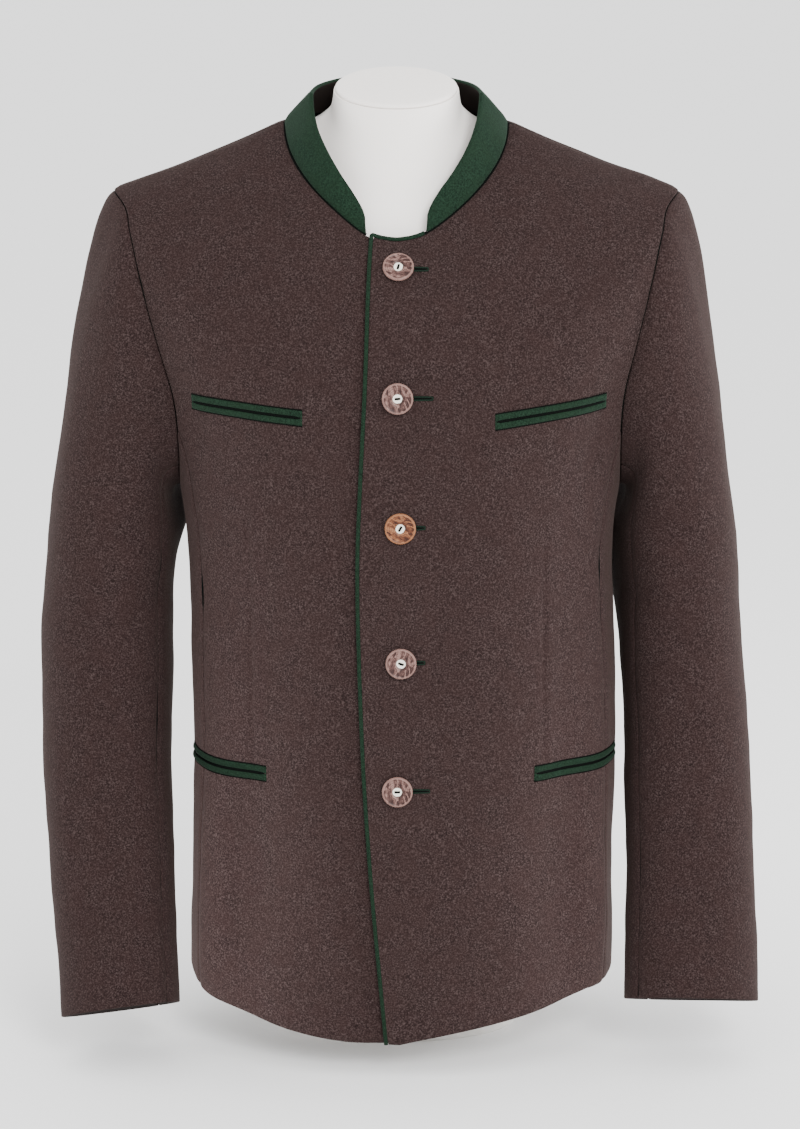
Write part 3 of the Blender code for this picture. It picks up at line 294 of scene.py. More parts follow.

# Creases, listed one by one. Columns: angle and height of the one end, angle and height of the
# other, half width, and rise (below 0 for a trough).
ROUND_BODY = 0.170
COAT_CREASES = {
    "right armpit pull": (-62, 0.520, -48, 0.560, 0.012, -0.0010),
    "right armpit roll": (-60, 0.495, -44, 0.530, 0.012, 0.0008),
    "left armpit pull": (60, 0.500, 50, 0.575, 0.014, -0.0014),
    "left armpit roll": (55, 0.480, 42, 0.540, 0.014, 0.0008),
    "right waist break": (-66, 0.385, -50, 0.400, 0.010, -0.0012),
    "right waist roll": (-66, 0.362, -48, 0.374, 0.011, 0.0010),
    "left waist break": (66, 0.372, 52, 0.392, 0.010, -0.0012),
    "left waist roll": (66, 0.350, 50, 0.366, 0.011, 0.0010),
    "right skirt fall": (-52, 0.235, -49, 0.060, 0.011, -0.0014),
    "left skirt fall": (54, 0.235, 51, 0.070, 0.011, -0.0014),
    "front skirt fall": (27, 0.225, 24, 0.060, 0.013, -0.0008),
    "right front skirt fall": (-29, 0.225, -26, 0.055, 0.013, -0.0008),
    "chest dent": (24, 0.545, 23, 0.580, 0.008, -0.0006),
    "right back armpit": (-122, 0.500, -140, 0.560, 0.013, -0.0014),
    "right back roll": (-122, 0.470, -142, 0.525, 0.013, 0.0010),
    "left back armpit": (122, 0.495, 141, 0.550, 0.013, -0.0014),
    "left back roll": (122, 0.465, 140, 0.515, 0.013, 0.0010),
    "right back waist": (-124, 0.375, -158, 0.390, 0.010, -0.0013),
    "right back waist roll": (-124, 0.352, -160, 0.364, 0.011, 0.0010),
    "left back waist": (124, 0.380, 160, 0.396, 0.010, -0.0013),
    "left back waist roll": (126, 0.356, 158, 0.368, 0.011, 0.0010),
    "right back fall": (-140, 0.250, -138, 0.080, 0.014, -0.0014),
    "left back fall": (142, 0.250, 140, 0.080, 0.014, -0.0014),
}
ROUND_SLEEVE = 0.056
CREASE_END_SHARE = 0.25
SLEEVE_CREASES = {
    "right": {
        "elbow break": (60, 0.352, 128, 0.366, 0.0075, -0.0016),
        "elbow second": (52, 0.318, 120, 0.334, 0.0080, -0.0011),
        "elbow roll": (55, 0.336, 125, 0.350, 0.0080, 0.0012),
        "upper pull": (75, 0.420, 140, 0.452, 0.010, -0.0012),
        "upper roll": (70, 0.398, 140, 0.428, 0.010, 0.0010),
        "forearm fall": (62, 0.270, 70, 0.120, 0.011, -0.0010),
        "outer fall": (15, 0.560, 20, 0.400, 0.014, -0.0008),
        "hind elbow": (250, 0.330, 300, 0.352, 0.011, 0.0014),
        "hind break": (245, 0.300, 300, 0.318, 0.009, -0.0012),
        "cuff dent": (80, 0.140, 110, 0.115, 0.010, -0.0008),
    },
    "left": {
        "elbow break": (62, 0.342, 126, 0.362, 0.0075, -0.0014),
        "elbow second": (56, 0.306, 118, 0.326, 0.0085, -0.0010),
        "elbow roll": (58, 0.325, 122, 0.343, 0.0080, 0.0011),
        "upper pull": (78, 0.430, 142, 0.462, 0.010, -0.0012),
        "upper roll": (72, 0.406, 140, 0.438, 0.010, 0.0010),
        "forearm fall": (68, 0.262, 76, 0.112, 0.011, -0.0010),
        "outer fall": (12, 0.545, 18, 0.385, 0.014, -0.0008),
        "hind elbow": (252, 0.336, 300, 0.350, 0.011, 0.0014),
        "hind break": (245, 0.305, 298, 0.322, 0.009, -0.0012),
        "cuff dent": (84, 0.150, 112, 0.124, 0.010, -0.0008),
    },
}

# Front darts, sewn in down to the hip pockets. Columns: x and z of the top, x and z of the foot.
DARTS = {
    "right": (-0.1240, 0.490, -0.1215, 0.262),
    "left": (0.1175, 0.452, 0.1185, 0.264),
}
DART_WIDTH = 0.0016
DART_DEPTH = 0.0011
DART_EASE = 6
DART_END_SHARE = 0.3
DART_END_REACH = 0.008
DART_ROLL_SHARE = 0.6
DART_ROLL_AT = 0.006
DART_ROLL_WIDTH = 0.005
DART_ROLL_REACH = 0.02

# The right front sinks a little more under the left one's edge, except near the neck
EDGE_SINK = 0.0014
EDGE_SINK_REACH = 0.020
EDGE_SINK_TOP = 0.69
EDGE_SINK_EASE = 0.03

# Dark bottoms of the seams: painted shade, near-black ribbons sunk into each seam's groove
SEAM_DEPTH = 0.0016
SEAM_HALF_WIDTH = 0.0022
SEAM_HALF_HEIGHT = 0.0005
SEAM_STEPS = 90
SEAM_SHORT = 0.0012
CUFF_SHORT = 0.35
SEAM_TURN = math.radians(2)
NECK_SEAM_SHORT = math.radians(1.5)

# Trimmings
PIPING_HALF_WIDTH = 0.0017
PIPING_HALF_HEIGHT = 0.0014
PIPING_TOP_FINE = 24
LIP_FINE = (13, 60)
LIP_INSET = 0.0004
LIP_MEET = 0.00005
LIP_CLOSING = 0.06
LIP_ROUNDNESS = 2.2
LIP_SWELL = 1.35
LIP_LIFT = TRIM_LIFT * 0.4
LIP_END_SHARE = 0.35
LIP_END_REACH = 0.0025
LIP_BULGE = 0.0002
LIP_SINK = 0.0002
# Pocket slit strip and the outline round the lips: painted shade, near-black strips and cords
SLIT_LIFT = 0.0009
OUTLINE_GAP = 0.0002
OUTLINE_LIFT = 0.0005
OUTLINE_HALF_WIDTH = 0.0006
OUTLINE_HALF_HEIGHT = 0.0004
AMBER_BUTTON = "button_3"
BUTTONHOLE_ENDS = {
    "button_1": 0.0225,
    "button_2": 0.0262,
    "button_3": 0.0200,
    "button_4": 0.0200,
    "button_5": 0.0240,
}
BUTTONHOLE_HALF_WIDTH = 0.0013
BUTTONHOLE_START = 0.004
BUTTONHOLE_FINE = 72
BUTTONHOLE_SQUARENESS = 1.35
BUTTONHOLE_FLATNESS = 0.45
BINDING_LIFT = 0.0003
BINDING_RADIUS = 0.0007
# Buttonhole slit: painted shade, a near-black strip
HOLE_FINE = 24
HOLE_LIFT = 0.0002
HOLE_HALF_WIDTH = 0.0009
HOLE_HALF_HEIGHT = 0.0004
BUTTON_STEPS = 72
THREAD_FINE = 15
THREAD_HALF_LENGTH = 0.0023
THREAD_LEVEL = 0.0030
THREAD_ARCH = 0.0005
THREAD_HALF_WIDTH = 0.0009
THREAD_HALF_HEIGHT = 0.0006

# A button's turned section, from the middle of its back to the middle of its face.
# Columns: radius and height.
BUTTON_PROFILE = (
    (0.0000, 0.0002),
    (0.0095, 0.0002),
    (0.0112, 0.0007),
    (0.0122, 0.0015),
    (0.0126, 0.0025),
    (0.0126, 0.0034),
    (0.0122, 0.0041),
    (0.0116, 0.0045),
    (0.0110, 0.0045),
    (0.0105, 0.0042),
    (0.0098, 0.0040),
    (0.0070, 0.0041),
    (0.0052, 0.0040),
    (0.0042, 0.0034),
    (0.0034, 0.0030),
    (0.0016, 0.0028),
    (0.0000, 0.0028),
)

# Camera
CAMERA_PLACE = (0.0, -2.68, 0.955)
CAMERA_PITCH = math.radians(78.4)
CAMERA_LENS = 3225 / 1129 * 36

# Light. A lamp's columns: x, y, z, size and power.
WORLD_STRENGTH = 2.05
LAMPS = {
    "key lamp": (1.0, -2.9, 2.0, 1.4, 120.0),
    "right side lamp": (-2.0, 0.3, 0.50, 0.8, 18.0),
    "left side lamp": (2.0, 0.3, 0.50, 0.8, 34.0),
}
LAMP_TARGET = (0.0, 0.0, 0.45)

# Two low lamps that light only the body panels, and what they face
SKIRT_LAMPS = {
    "right skirt lamp": (-0.46, -0.18, 0.03, 0.20, 3.6),
    "left skirt lamp": (0.46, -0.18, 0.03, 0.20, 2.8),
}
SKIRT_MIDDLE = (0.16, -0.09, 0.10)
FLOOR_REACH = 60.0

# Colours, linear
FLOOR = (0.92, 0.92, 0.92, 1.0)
FLOOR_SHADE = (0.91, 0.91, 0.91, 1.0)
WOOL_DEEP = (0.0079, 0.0044, 0.0042, 1.0)
WOOL_MIDDLE = (0.0184, 0.0105, 0.0101, 1.0)
WOOL_PALE = (0.0462, 0.0315, 0.0300, 1.0)
WOOL_WARM = (0.0210, 0.0110, 0.0101, 1.0)
WOOL_SHEEN = (0.70, 0.52, 0.45, 1.0)
WOOL_SHINE = 0.08
GREEN_DEEP = (0.0028, 0.0074, 0.0042, 1.0)
GREEN_MIDDLE = (0.0058, 0.0155, 0.0088, 1.0)
GREEN_PALE = (0.0103, 0.0250, 0.0145, 1.0)
GREEN_WARM = (0.0068, 0.0165, 0.0082, 1.0)
GREEN_SHEEN = (0.50, 0.75, 0.58, 1.0)
LINING = (0.016, 0.012, 0.011, 1.0)
LINING_SHADE = (0.022, 0.016, 0.014, 1.0)
# Near-black: painted shade in the seam grooves, pocket slits and outlines and buttonhole slits; also the
# buttons' dark thread
SHADE_AND_THREAD_DARK = (0.0016, 0.0022, 0.0018, 1.0)
THREAD_GREEN = (0.0050, 0.0140, 0.0085, 1.0)
HORN_LIGHT = (0.190, 0.112, 0.096, 1.0)
HORN_MIDDLE = (0.080, 0.040, 0.034, 1.0)
HORN_DARK = (0.022, 0.009, 0.008, 1.0)
HORN_RINGS = 4200
HORN_RING_WANDER = 0.0014
HORN_RIM = (0.0108, 0.0114)
HORN_CORE = (0.720, 0.680, 0.600, 1.0)
AMBER_LIGHT = (0.220, 0.095, 0.045, 1.0)
AMBER_MIDDLE = (0.120, 0.040, 0.017, 1.0)
AMBER_DARK = (0.026, 0.008, 0.005, 1.0)
JERSEY = (0.880, 0.840, 0.800, 1.0)
JERSEY_SHADE = (0.860, 0.815, 0.770, 1.0)
ENAMEL = (0.620, 0.600, 0.570, 1.0)
ENAMEL_SHADE = (0.600, 0.580, 0.550, 1.0)


def sign_of(side):
    """Sign of x on one side of the coat."""
    return 1 if side == "left" else -1


def unit(vectors):
    length = np.linalg.norm(vectors, axis=-1, keepdims=True)
    return vectors / np.maximum(length, 1e-12)


def smoothstep(value):
    value = np.clip(value, 0.0, 1.0)
    return value * value * (3 - 2 * value)


def monotone_each(knots, values, at):
    """As monotone(), with its own curve for each point: values are (knot, point, xyz)."""
    knots = np.asarray(knots, float)
    step = np.diff(knots)[:, None, None]
    slope = np.diff(values, axis=0) / step
    before, after = slope[:-1], slope[1:]
    same_way = before * after > 0
    inner = np.where(same_way, 2 * before * after / np.where(same_way, before + after, 1.0), 0.0)
    tangent = np.concatenate([slope[:1], inner, slope[-1:]])
    span = np.clip(np.searchsorted(knots, at, side="right") - 1, 0, len(knots) - 2)
    each = np.arange(len(at))
    width = (knots[span + 1] - knots[span])[:, None]
    share = (at - knots[span])[:, None] / width
    square, cube = share**2, share**3
    near = (2 * cube - 3 * square + 1) * values[span, each]
    leaving = (cube - 2 * square + share) * width * tangent[span, each]
    far = (3 * square - 2 * cube) * values[span + 1, each]
    arriving = (cube - square) * width * tangent[span + 1, each]
    return near + leaving + far + arriving


def monotone(knots, values, at):
    """Smooth curve through values (knots first) that adds no bumps of its own, read at `at`."""
    at = np.asarray(at, float)
    spread = np.clip(at, knots[0], knots[-1]).ravel()
    values = np.repeat(np.asarray(values, float)[:, None, None], spread.size, axis=1)
    return monotone_each(knots, values, spread).reshape(at.shape)


def dip_at_neck(angle, out, behind, left):
    """Share of the way from the neck seam's side to its front or back, at an angle from there."""
    turn = angle / (math.pi / 2) - NECK_DIP_START
    whole = 1 - NECK_DIP_START
    rise = (turn + np.sqrt(turn**2 + NECK_DIP_EASE**2)) / (whole + math.hypot(whole, NECK_DIP_EASE))
    return np.where(behind, out, 1 - rise)


def dip_over_shoulder(angle, out, behind, left):
    """The same for a ring over the shoulders, rounded where the shoulder seam runs."""
    return out**SHOULDER_ROUNDING


def dip_at_hem(angle, out, behind, left):
    """The same for the hem, lowest at the centre front. The left front's rises straight from there."""
    right_dip = 1 - np.sin(np.minimum(angle / HEM_DIP_REACH["right"], 1) * math.pi / 2) ** 2
    left_dip = 1 - np.minimum(angle / HEM_DIP_REACH["left"], 1) ** HEM_LEFT_POWER
    return np.where(left & ~behind, left_dip, right_dip)


def slanted(angle, out, behind, left):
    """The same for a ring that lies in one slanting plane."""
    return out


def ring_point(ring, angle, dip):
    """Point of one ring at an angle from the centre front, signed towards the wearer's left."""
    size = dict(zip(RING_COLUMNS, ring))
    across = np.sin(angle)
    behind = np.abs(angle) > math.pi / 2
    from_middle = np.where(behind, math.pi - np.abs(angle), np.abs(angle))
    out = (1 - np.minimum(np.abs(across), 1) ** size["fullness"]) ** (1 / size["fullness"])
    x = size["mid_x"] + size["half_width"] * across
    y = size["mid_y"] + np.where(behind, size["back"], -size["front"]) * out
    end = np.where(behind, size["z_back"], size["z_front"])
    z = size["z_side"] + (end - size["z_side"]) * dip(from_middle, out, behind, across > 0)
    return np.stack([x, y, z], axis=-1)


def through_rings(rings, dips, angle, down):
    """Surface through a table of rings, at arrays of angle and distance down."""
    angle, down = np.broadcast_arrays(np.asarray(angle, float), np.asarray(down, float))
    flat_angle, flat_down = angle.ravel(), down.ravel()
    knots = [ring[0] for ring in rings.values()]
    points = np.stack([ring_point(ring, flat_angle, dip) for ring, dip in zip(rings.values(), dips)])
    span = np.clip(np.searchsorted(knots, flat_down, side="right") - 1, 0, len(knots) - 2)
    found = np.empty((len(flat_angle), 3))
    for index in np.unique(span):
        here = span == index
        first = max(index - 1, 0)
        last = min(index + 3, len(knots))
        found[here] = monotone_each(knots[first:last], points[first:last, here], flat_down[here])
    return found.reshape(angle.shape + (3,))


def folds_at(folds, angle, z, whole_turn):
    """How far the folds lift the cloth at an angle (radians) and a height."""
    rise = np.zeros(np.broadcast(angle, z).shape)
    for middle, middle_z, reach, reach_z, height in folds.values():
        turn = (angle - math.radians(middle) + whole_turn / 2) % whole_turn - whole_turn / 2
        off_round = (turn / math.radians(reach)) ** 2
        rise = rise + height * np.exp(-off_round - ((z - middle_z) / reach_z) ** 2)
    return rise


LOWER_RINGS = len(COAT_RINGS) - SHOULDER_RINGS - 1
COAT_DIPS = [dip_at_neck] + [dip_over_shoulder] * SHOULDER_RINGS + [dip_at_hem] * LOWER_RINGS
HEM = max(ring[0] for ring in COAT_RINGS.values())
SHOULDER_POINT = COAT_RINGS["shoulder"][0]


def smooth_body(angle, down):
    """The coat body's outer surface before its folds."""
    return through_rings(COAT_RINGS, COAT_DIPS, angle, down)


def body(angle, down):
    """The coat body's outer surface."""
    points = smooth_body(angle, down)
    rise = folds_at(COAT_FOLDS, np.asarray(angle, float), points[..., 2], 2 * math.pi)
    points[..., 0] *= 1 + rise / FOLD_RADIUS
    points[..., 1] *= 1 + rise / FOLD_RADIUS
    return points


SURVEY_ANGLES = np.linspace(-math.pi, math.pi, 721)
SURVEY_DOWNS = np.linspace(0, HEM, 260)
SURVEY = body(SURVEY_ANGLES[:, None], SURVEY_DOWNS[None, :])


def body_frame(angle, down, surface=body):
    """Outer surface point, outward normal, direction of growing angle and direction down."""
    turn, drop = 1e-3, 1e-4
    points = surface(angle, down)
    round_way = unit(surface(angle + turn, down) - surface(angle - turn, down))
    upper = np.clip(down - drop, 0, HEM)
    lower = np.clip(down + drop, 0, HEM)
    down_way = unit(surface(angle, lower) - surface(angle, upper))
    normal = unit(np.cross(down_way, round_way))
    return points, normal, round_way, down_way


def survey(axis, angle, down):
    """Coordinate of the body (0 x, 1 y, 2 z) read from the survey grid."""
    across = (angle - SURVEY_ANGLES[0]) / (SURVEY_ANGLES[1] - SURVEY_ANGLES[0])
    along = down / SURVEY_DOWNS[1]
    col = np.clip(np.floor(across).astype(int), 0, len(SURVEY_ANGLES) - 2)
    row = np.clip(np.floor(along).astype(int), 0, len(SURVEY_DOWNS) - 2)
    u, v = across - col, along - row
    grid = SURVEY[..., axis]
    near = grid[col, row] * (1 - v) + grid[col, row + 1] * v
    far = grid[col + 1, row] * (1 - v) + grid[col + 1, row + 1] * v
    return near * (1 - u) + far * u


def find_down(angle, z):
    """Distance down at which the body reaches the height z."""
    angle, z = np.broadcast_arrays(np.asarray(angle, float), np.asarray(z, float))
    low = np.zeros(z.shape)
    high = np.full(z.shape, HEM)
    for _ in range(SEARCH_STEPS):
        middle = (low + high) / 2
        above = survey(2, angle, middle) > z
        low = np.where(above, middle, low)
        high = np.where(above, high, middle)
    return (low + high) / 2


def locate(axis, value, z, lowest, highest):
    """Angle and distance down of the body point with this height and this x (axis 0) or y (axis 1)."""
    value, z = np.broadcast_arrays(np.asarray(value, float), np.asarray(z, float))
    low = np.full(value.shape, float(lowest))
    high = np.full(value.shape, float(highest))
    for _ in range(SEARCH_STEPS):
        middle = (low + high) / 2
        short = survey(axis, middle, find_down(middle, z)) < value
        low = np.where(short, middle, low)
        high = np.where(short, high, middle)
    angle = (low + high) / 2
    return angle, find_down(angle, z)


def armhole(turn):
    """Angle and distance down of the left armhole. turn is 0 at the shoulder, a quarter at the front."""
    turn = np.asarray(turn, float)
    half_height = (ARMHOLE_TOP - ARMHOLE_BOTTOM) / 2
    reach = np.where(np.sin(turn) > 0, ARMHOLE_FRONT, ARMHOLE_BACK)
    y = ARMHOLE_MID_Y - reach * np.sin(turn) * (1 + ARMHOLE_HIGH_FULLNESS * np.cos(turn))
    z = ARMHOLE_BOTTOM + half_height * (1 + np.cos(turn))
    angle, down = locate(1, y, z, math.radians(50), math.radians(135))
    top = np.cos(turn) > 1 - 1e-9
    return np.where(top, SHOULDER_SEAM, angle), np.where(top, SHOULDER_POINT, down)


def armhole_crossing(seam, first, last):
    """Turn round the armhole at which it meets a seam of the body."""
    rising = armhole(np.array([last]))[0][0] > armhole(np.array([first]))[0][0]
    for _ in range(SEARCH_STEPS):
        middle = (first + last) / 2
        before = armhole(np.array([middle]))[0][0] < seam
        if before == rising:
            first = middle
        else:
            last = middle
    return (first + last) / 2


def lap_edge_x(z):
    """Where the left front's edge lies at a height."""
    table = sorted(LAP_EDGE.values())
    return monotone([row[0] for row in table], [row[1] for row in table], z)


def lap_depth(x, z):
    """How far the right front sinks so that the left one can lie on it."""
    from_edge = lap_edge_x(z) - x
    start, end = LAP_RAMP
    return (CLOTH + LAYER_GAP) * (1 - smoothstep((from_edge - start) / (end - start)))


def edge_lines(hole, seam, shoulder, below):
    """The armhole side of a front or back panel: shoulder seam, armhole, then side seam."""
    start = hole[1][-1]
    seam_down = start + (HEM - start) * below[1:]
    shoulder_angle = np.full(len(shoulder), SHOULDER_SEAM)
    angle = np.concatenate([shoulder_angle, hole[0], np.full(len(seam_down), seam)])
    down = np.concatenate([shoulder, hole[1], seam_down])
    high = shoulder * LEVEL_SHARE
    level = np.linspace(high[-1], start, len(hole[1]) + 1)[1:]
    return angle, down, np.concatenate([high, level, seam_down])


def front_edge(side, level):
    """Angles of a front's edge at the opening, one for each level down the centre front."""
    z = body(np.zeros(len(level)), level)[:, 2]
    edge_x = lap_edge_x(z) if side == "left" else np.full(len(z), UNDERLAP_X)
    return locate(0, edge_x, z, -FRONT_REACH, FRONT_REACH)[0]


def sleeve_section(side, z, turn):
    """Points of the sleeve tube at a height (before slope and roll) and turns round it."""
    sign = sign_of(side)
    columns = np.array(sorted(SLEEVE_SECTIONS[side].values())).T
    size = {name: monotone(columns[0], column, z) for name, column in zip(SLEEVE_COLUMNS, columns)}
    power = 2 / SLEEVE_FULLNESS
    across = np.sign(np.cos(turn)) * np.abs(np.cos(turn)) ** power
    forward = np.sign(np.sin(turn)) * np.abs(np.sin(turn)) ** power
    half = (size["outer"] - size["inner"]) / 2
    lift = folds_at(SLEEVE_FOLDS[side], turn, z, 2 * math.pi)
    outward = size["inner"] + half + (half + lift) * across
    forth = (size["half_depth"] + lift) * forward
    height = z + size["slope"] * forth + size["roll"] * half * across
    return np.stack([sign * outward, size["mid_y"] - forth, height], axis=-1)


def at_turn(values, turn):
    """Value for a turn round the armhole, given at the top, the front or back, and the bottom."""
    from_top = np.degrees(np.abs((turn + math.pi) % (2 * math.pi) - math.pi))
    return monotone(HEAD_ANGLES, values, from_top)


def sleeve_surface(side, turn, shares, rows):
    """Grid of the sleeve's outer surface, from the armhole (first row) to the cuff (last)."""
    sign = sign_of(side)
    angle, down = armhole(turn % (2 * math.pi))
    points, normal, _, _ = body_frame(sign * angle, down)
    near = [armhole((turn + way * HEAD_LOOK) % (2 * math.pi)) for way in (-1, 1)]
    along = unit(body(sign * near[1][0], near[1][1]) - body(sign * near[0][0], near[0][1]))
    leave = unit(np.cross(normal, along)) * sign
    outward, downward = sign * at_turn(HEAD_OUTWARD, turn), at_turn(HEAD_DOWNWARD, turn)
    start_way = unit(np.stack([outward, -HEAD_FORTH * np.sin(turn), -downward], axis=-1))
    bend = at_turn(HEAD_TURN, turn)[:, None] * math.pi / 2
    start_normal = normal * np.cos(bend) - leave * np.sin(bend)
    start = points + leave * ARMHOLE_GAP
    top_z = max(row[0] for row in SLEEVE_SECTIONS[side].values())
    end = sleeve_section(side, np.full(len(turn), top_z), turn)
    lower = sleeve_section(side, np.full(len(turn), top_z - HEAD_END_LOOK), turn)
    length = np.linalg.norm(end - start, axis=-1, keepdims=True)
    first = start + start_way * at_turn(HEAD_START_REACH, turn)[:, None]
    lean = np.stack([-sign * at_turn(HEAD_LEAN, turn), 0 * turn, 0 * turn], axis=-1)
    second = end + (unit(end - lower) + lean) * at_turn(HEAD_END_SHARE, turn)[:, None] * length
    grid = []
    for share in shares:
        rest = 1 - share
        near_start = start * rest**3 + first * 3 * rest**2 * share
        grid.append(near_start + second * 3 * rest * share**2 + end * share**3)
    cuff_z = min(row[0] for row in SLEEVE_SECTIONS[side].values())
    for z in np.linspace(top_z, cuff_z, rows + 1)[1:]:
        grid.append(sleeve_section(side, np.full(len(turn), z), turn))
    return np.array(grid), start_normal


def collar_height(angle, end):
    """Share of the collar's full height, rounded off at its front corners."""
    from_end = np.clip((np.abs(angle) - end) / COLLAR_CORNER, 0, 1)
    return 1 - COLLAR_CORNER_CUT * (1 - np.sqrt(1 - (1 - from_end) ** 2))


def collar_end():
    return math.asin(COLLAR_END_X / COAT_RINGS["neck seam"][RING_COLUMNS.index("half_width")])


def form_depth(angle, down):
    """How deep the form lies under the coat's outer face: seated on the shoulders only."""
    extra, reach = FORM_NECK_EXTRA
    depth = FORM_SEAT_DEPTH + extra * (1 - smoothstep(down / reach))
    extra, start, reach = FORM_SHOULDER_EXTRA
    depth = depth + extra * smoothstep((down - start) / reach)
    extra, start, reach = FORM_CHEST_EXTRA
    depth = depth + extra * smoothstep((np.abs(np.abs(angle) - math.pi / 2) - start) / reach)
    extra, start, reach = FORM_WAIST_EXTRA
    return depth + extra * smoothstep((down - start) / reach)


def waves_at(points):
    """Long low waves of the cloth at an array of points."""
    rise = np.zeros(points.shape[:-1])
    for x, y, z, length, height, phase in WAVES.values():
        way = unit(np.array([x, y, z]))
        rise = rise + height * np.sin(points @ way * 2 * math.pi / length + phase)
    return rise


def creases_at(creases, angle, z, radius):
    """Rise of a table of creases at an angle (radians) and height on a body of some radius."""
    rise = np.zeros(np.broadcast(angle, z).shape)
    for u0, v0, u1, v1, width, height in creases.values():
        start = np.array([math.radians(u0) * radius, v0])
        run = np.array([math.radians(u1) * radius, v1]) - start
        u, v = angle * radius - start[0], z - start[1]
        share = np.clip((u * run[0] + v * run[1]) / (run @ run), 0, 1)
        gap = np.hypot(u - run[0] * share, v - run[1] * share)
        fade = CREASE_END_SHARE + (1 - CREASE_END_SHARE) * np.sin(math.pi * share)
        rise = rise + height * fade * np.exp(-((gap / width) ** 2))
    return rise


def dart_at(points):
    """Narrow valley of each front dart, and a low roll beside it."""
    rise = np.zeros(points.shape[:-1])
    for x_top, z_top, x_low, z_low in DARTS.values():
        share = (z_top - points[..., 2]) / (z_top - z_low)
        gap = points[..., 0] - x_top - (x_low - x_top) * np.clip(share, 0, 1)
        beyond = np.maximum(np.maximum(-share, share - 1), 0) * (z_top - z_low)
        front = points[..., 1] < 0
        depth = DART_DEPTH * smoothstep(share * DART_EASE) + DART_DEPTH * DART_END_SHARE
        valley = np.exp(-((gap / DART_WIDTH) ** 2) - (beyond / DART_END_REACH) ** 2)
        beside = (gap - DART_ROLL_AT) / DART_ROLL_WIDTH
        roll = np.exp(-(beside**2) - (beyond / DART_ROLL_REACH) ** 2)
        rise = rise - depth * front * valley + DART_DEPTH * DART_ROLL_SHARE * front * roll
    return rise


def distances(points):
    """How far each point of a grid lies from the grid's four edges, along the cloth."""
    steps_down = np.linalg.norm(np.diff(points, axis=0), axis=-1)
    steps_across = np.linalg.norm(np.diff(points, axis=1), axis=-1)
    down = np.concatenate([np.zeros((1, points.shape[1])), np.cumsum(steps_down, axis=0)])
    across = np.concatenate([np.zeros((points.shape[0], 1)), np.cumsum(steps_across, axis=1)], axis=1)
    return {"top": down, "bottom": down[-1:] - down, "left": across, "right": across[:, -1:] - across}


def seam_rise(points, seams):
    """Groove and low ridge beside each sewn edge."""
    away = distances(points)
    rise = np.zeros(points.shape[:-1])
    for side in seams:
        gap = away[side]
        rise = rise - GROOVE * np.exp(-((gap / GROOVE_REACH) ** 2))
        rise = rise + SEAM_RIDGE * np.exp(-(((gap - SEAM_RIDGE_AT) / SEAM_RIDGE_REACH) ** 2))
    return rise


def pull_in(points, sides, amount):
    """Moves the grid's named edges inwards by an amount."""
    moved = points.copy()
    for side in sides:
        if side == "top":
            moved[0] += unit(points[1] - points[0]) * amount
        elif side == "bottom":
            moved[-1] += unit(points[-2] - points[-1]) * amount
        elif side == "left":
            moved[:, 0] += unit(points[:, 1] - points[:, 0]) * amount
        else:
            moved[:, -1] += unit(points[:, -2] - points[:, -1]) * amount
    return moved


def new_object(name, points, faces, finishes, of_face=None):
    mesh = bpy.data.meshes.new(name)
    mesh.from_pydata([tuple(point) for point in points], [], faces)
    for finish in finishes:
        mesh.materials.append(finish)
    if of_face is not None:
        mesh.polygons.foreach_set("material_index", of_face)
    mesh.shade_smooth()
    mesh.update()
    made = bpy.data.objects.new(name, mesh)
    bpy.context.scene.collection.objects.link(made)
    return made


def wall_parts(outer, inner, bulge=RIM_BULGE):
    """Points, faces and face finishes of a wall with rounded edges between two grids."""
    rows, columns = outer.shape[:2]
    count = rows * columns
    index = np.arange(count).reshape(rows, columns)
    a, b = index[:-1, :-1].ravel(), index[:-1, 1:].ravel()
    c, d = index[1:, 1:].ravel(), index[1:, :-1].ravel()
    faces = np.stack([a, d, c, b], axis=1).tolist()
    finishes = [0] * len(faces)
    faces += (np.stack([a, b, c, d], axis=1) + count).tolist()
    finishes += [1] * (len(faces) - len(finishes))
    rim = list(index[0, :]) + list(index[1:, -1]) + list(index[-1, -2::-1]) + list(index[-2:0:-1, 0])
    beside = list(index[1, :]) + list(index[1:, -2]) + list(index[-2, -2::-1]) + list(index[-2:0:-1, 1])
    flat_outer, flat_inner = outer.reshape(-1, 3), inner.reshape(-1, 3)
    middle = (flat_outer[rim] + flat_inner[rim]) / 2
    half = (flat_outer[rim] - flat_inner[rim]) / 2
    away = unit(flat_outer[rim] - flat_outer[beside]) * bulge
    points = [flat_outer, flat_inner]
    loops = [np.array(rim)]
    for step in range(1, RIM_STEPS):
        turn = math.pi * step / RIM_STEPS
        points.append(middle + half * math.cos(turn) + away * math.sin(turn))
        loops.append(2 * count + (step - 1) * len(rim) + np.arange(len(rim)))
    loops.append(np.array(rim) + count)
    for here, there in zip(loops, loops[1:]):
        faces += np.stack([here, np.roll(here, -1), np.roll(there, -1), there], axis=1).tolist()
    finishes += [0] * (len(faces) - len(finishes))
    return np.concatenate(points), faces, finishes


def shell(name, node, points, normals, seams, finishes, rise=0.0, thickness=CLOTH):
    """Fine cloth piece in place of a solid one, its seam edges rounded into a groove."""
    lift = (waves_at(points) + rise)[..., None]
    groove = seam_rise(points, seams)[..., None]
    outer = points + normals * (lift + groove)
    inner = points + normals * (lift - thickness)
    free = [side for side in ("top", "bottom", "left", "right") if side not in seams]
    outer, inner = (pull_in(grid, seams, SEAM_DRAW + RIM_BULGE) for grid in (outer, inner))
    outer, inner = (pull_in(grid, free, RIM_BULGE) for grid in (outer, inner))
    points, faces, indices = wall_parts(outer, inner)
    made = new_object(name, points, faces, finishes, indices)
    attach(made, "root")
    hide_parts(node)
    return made


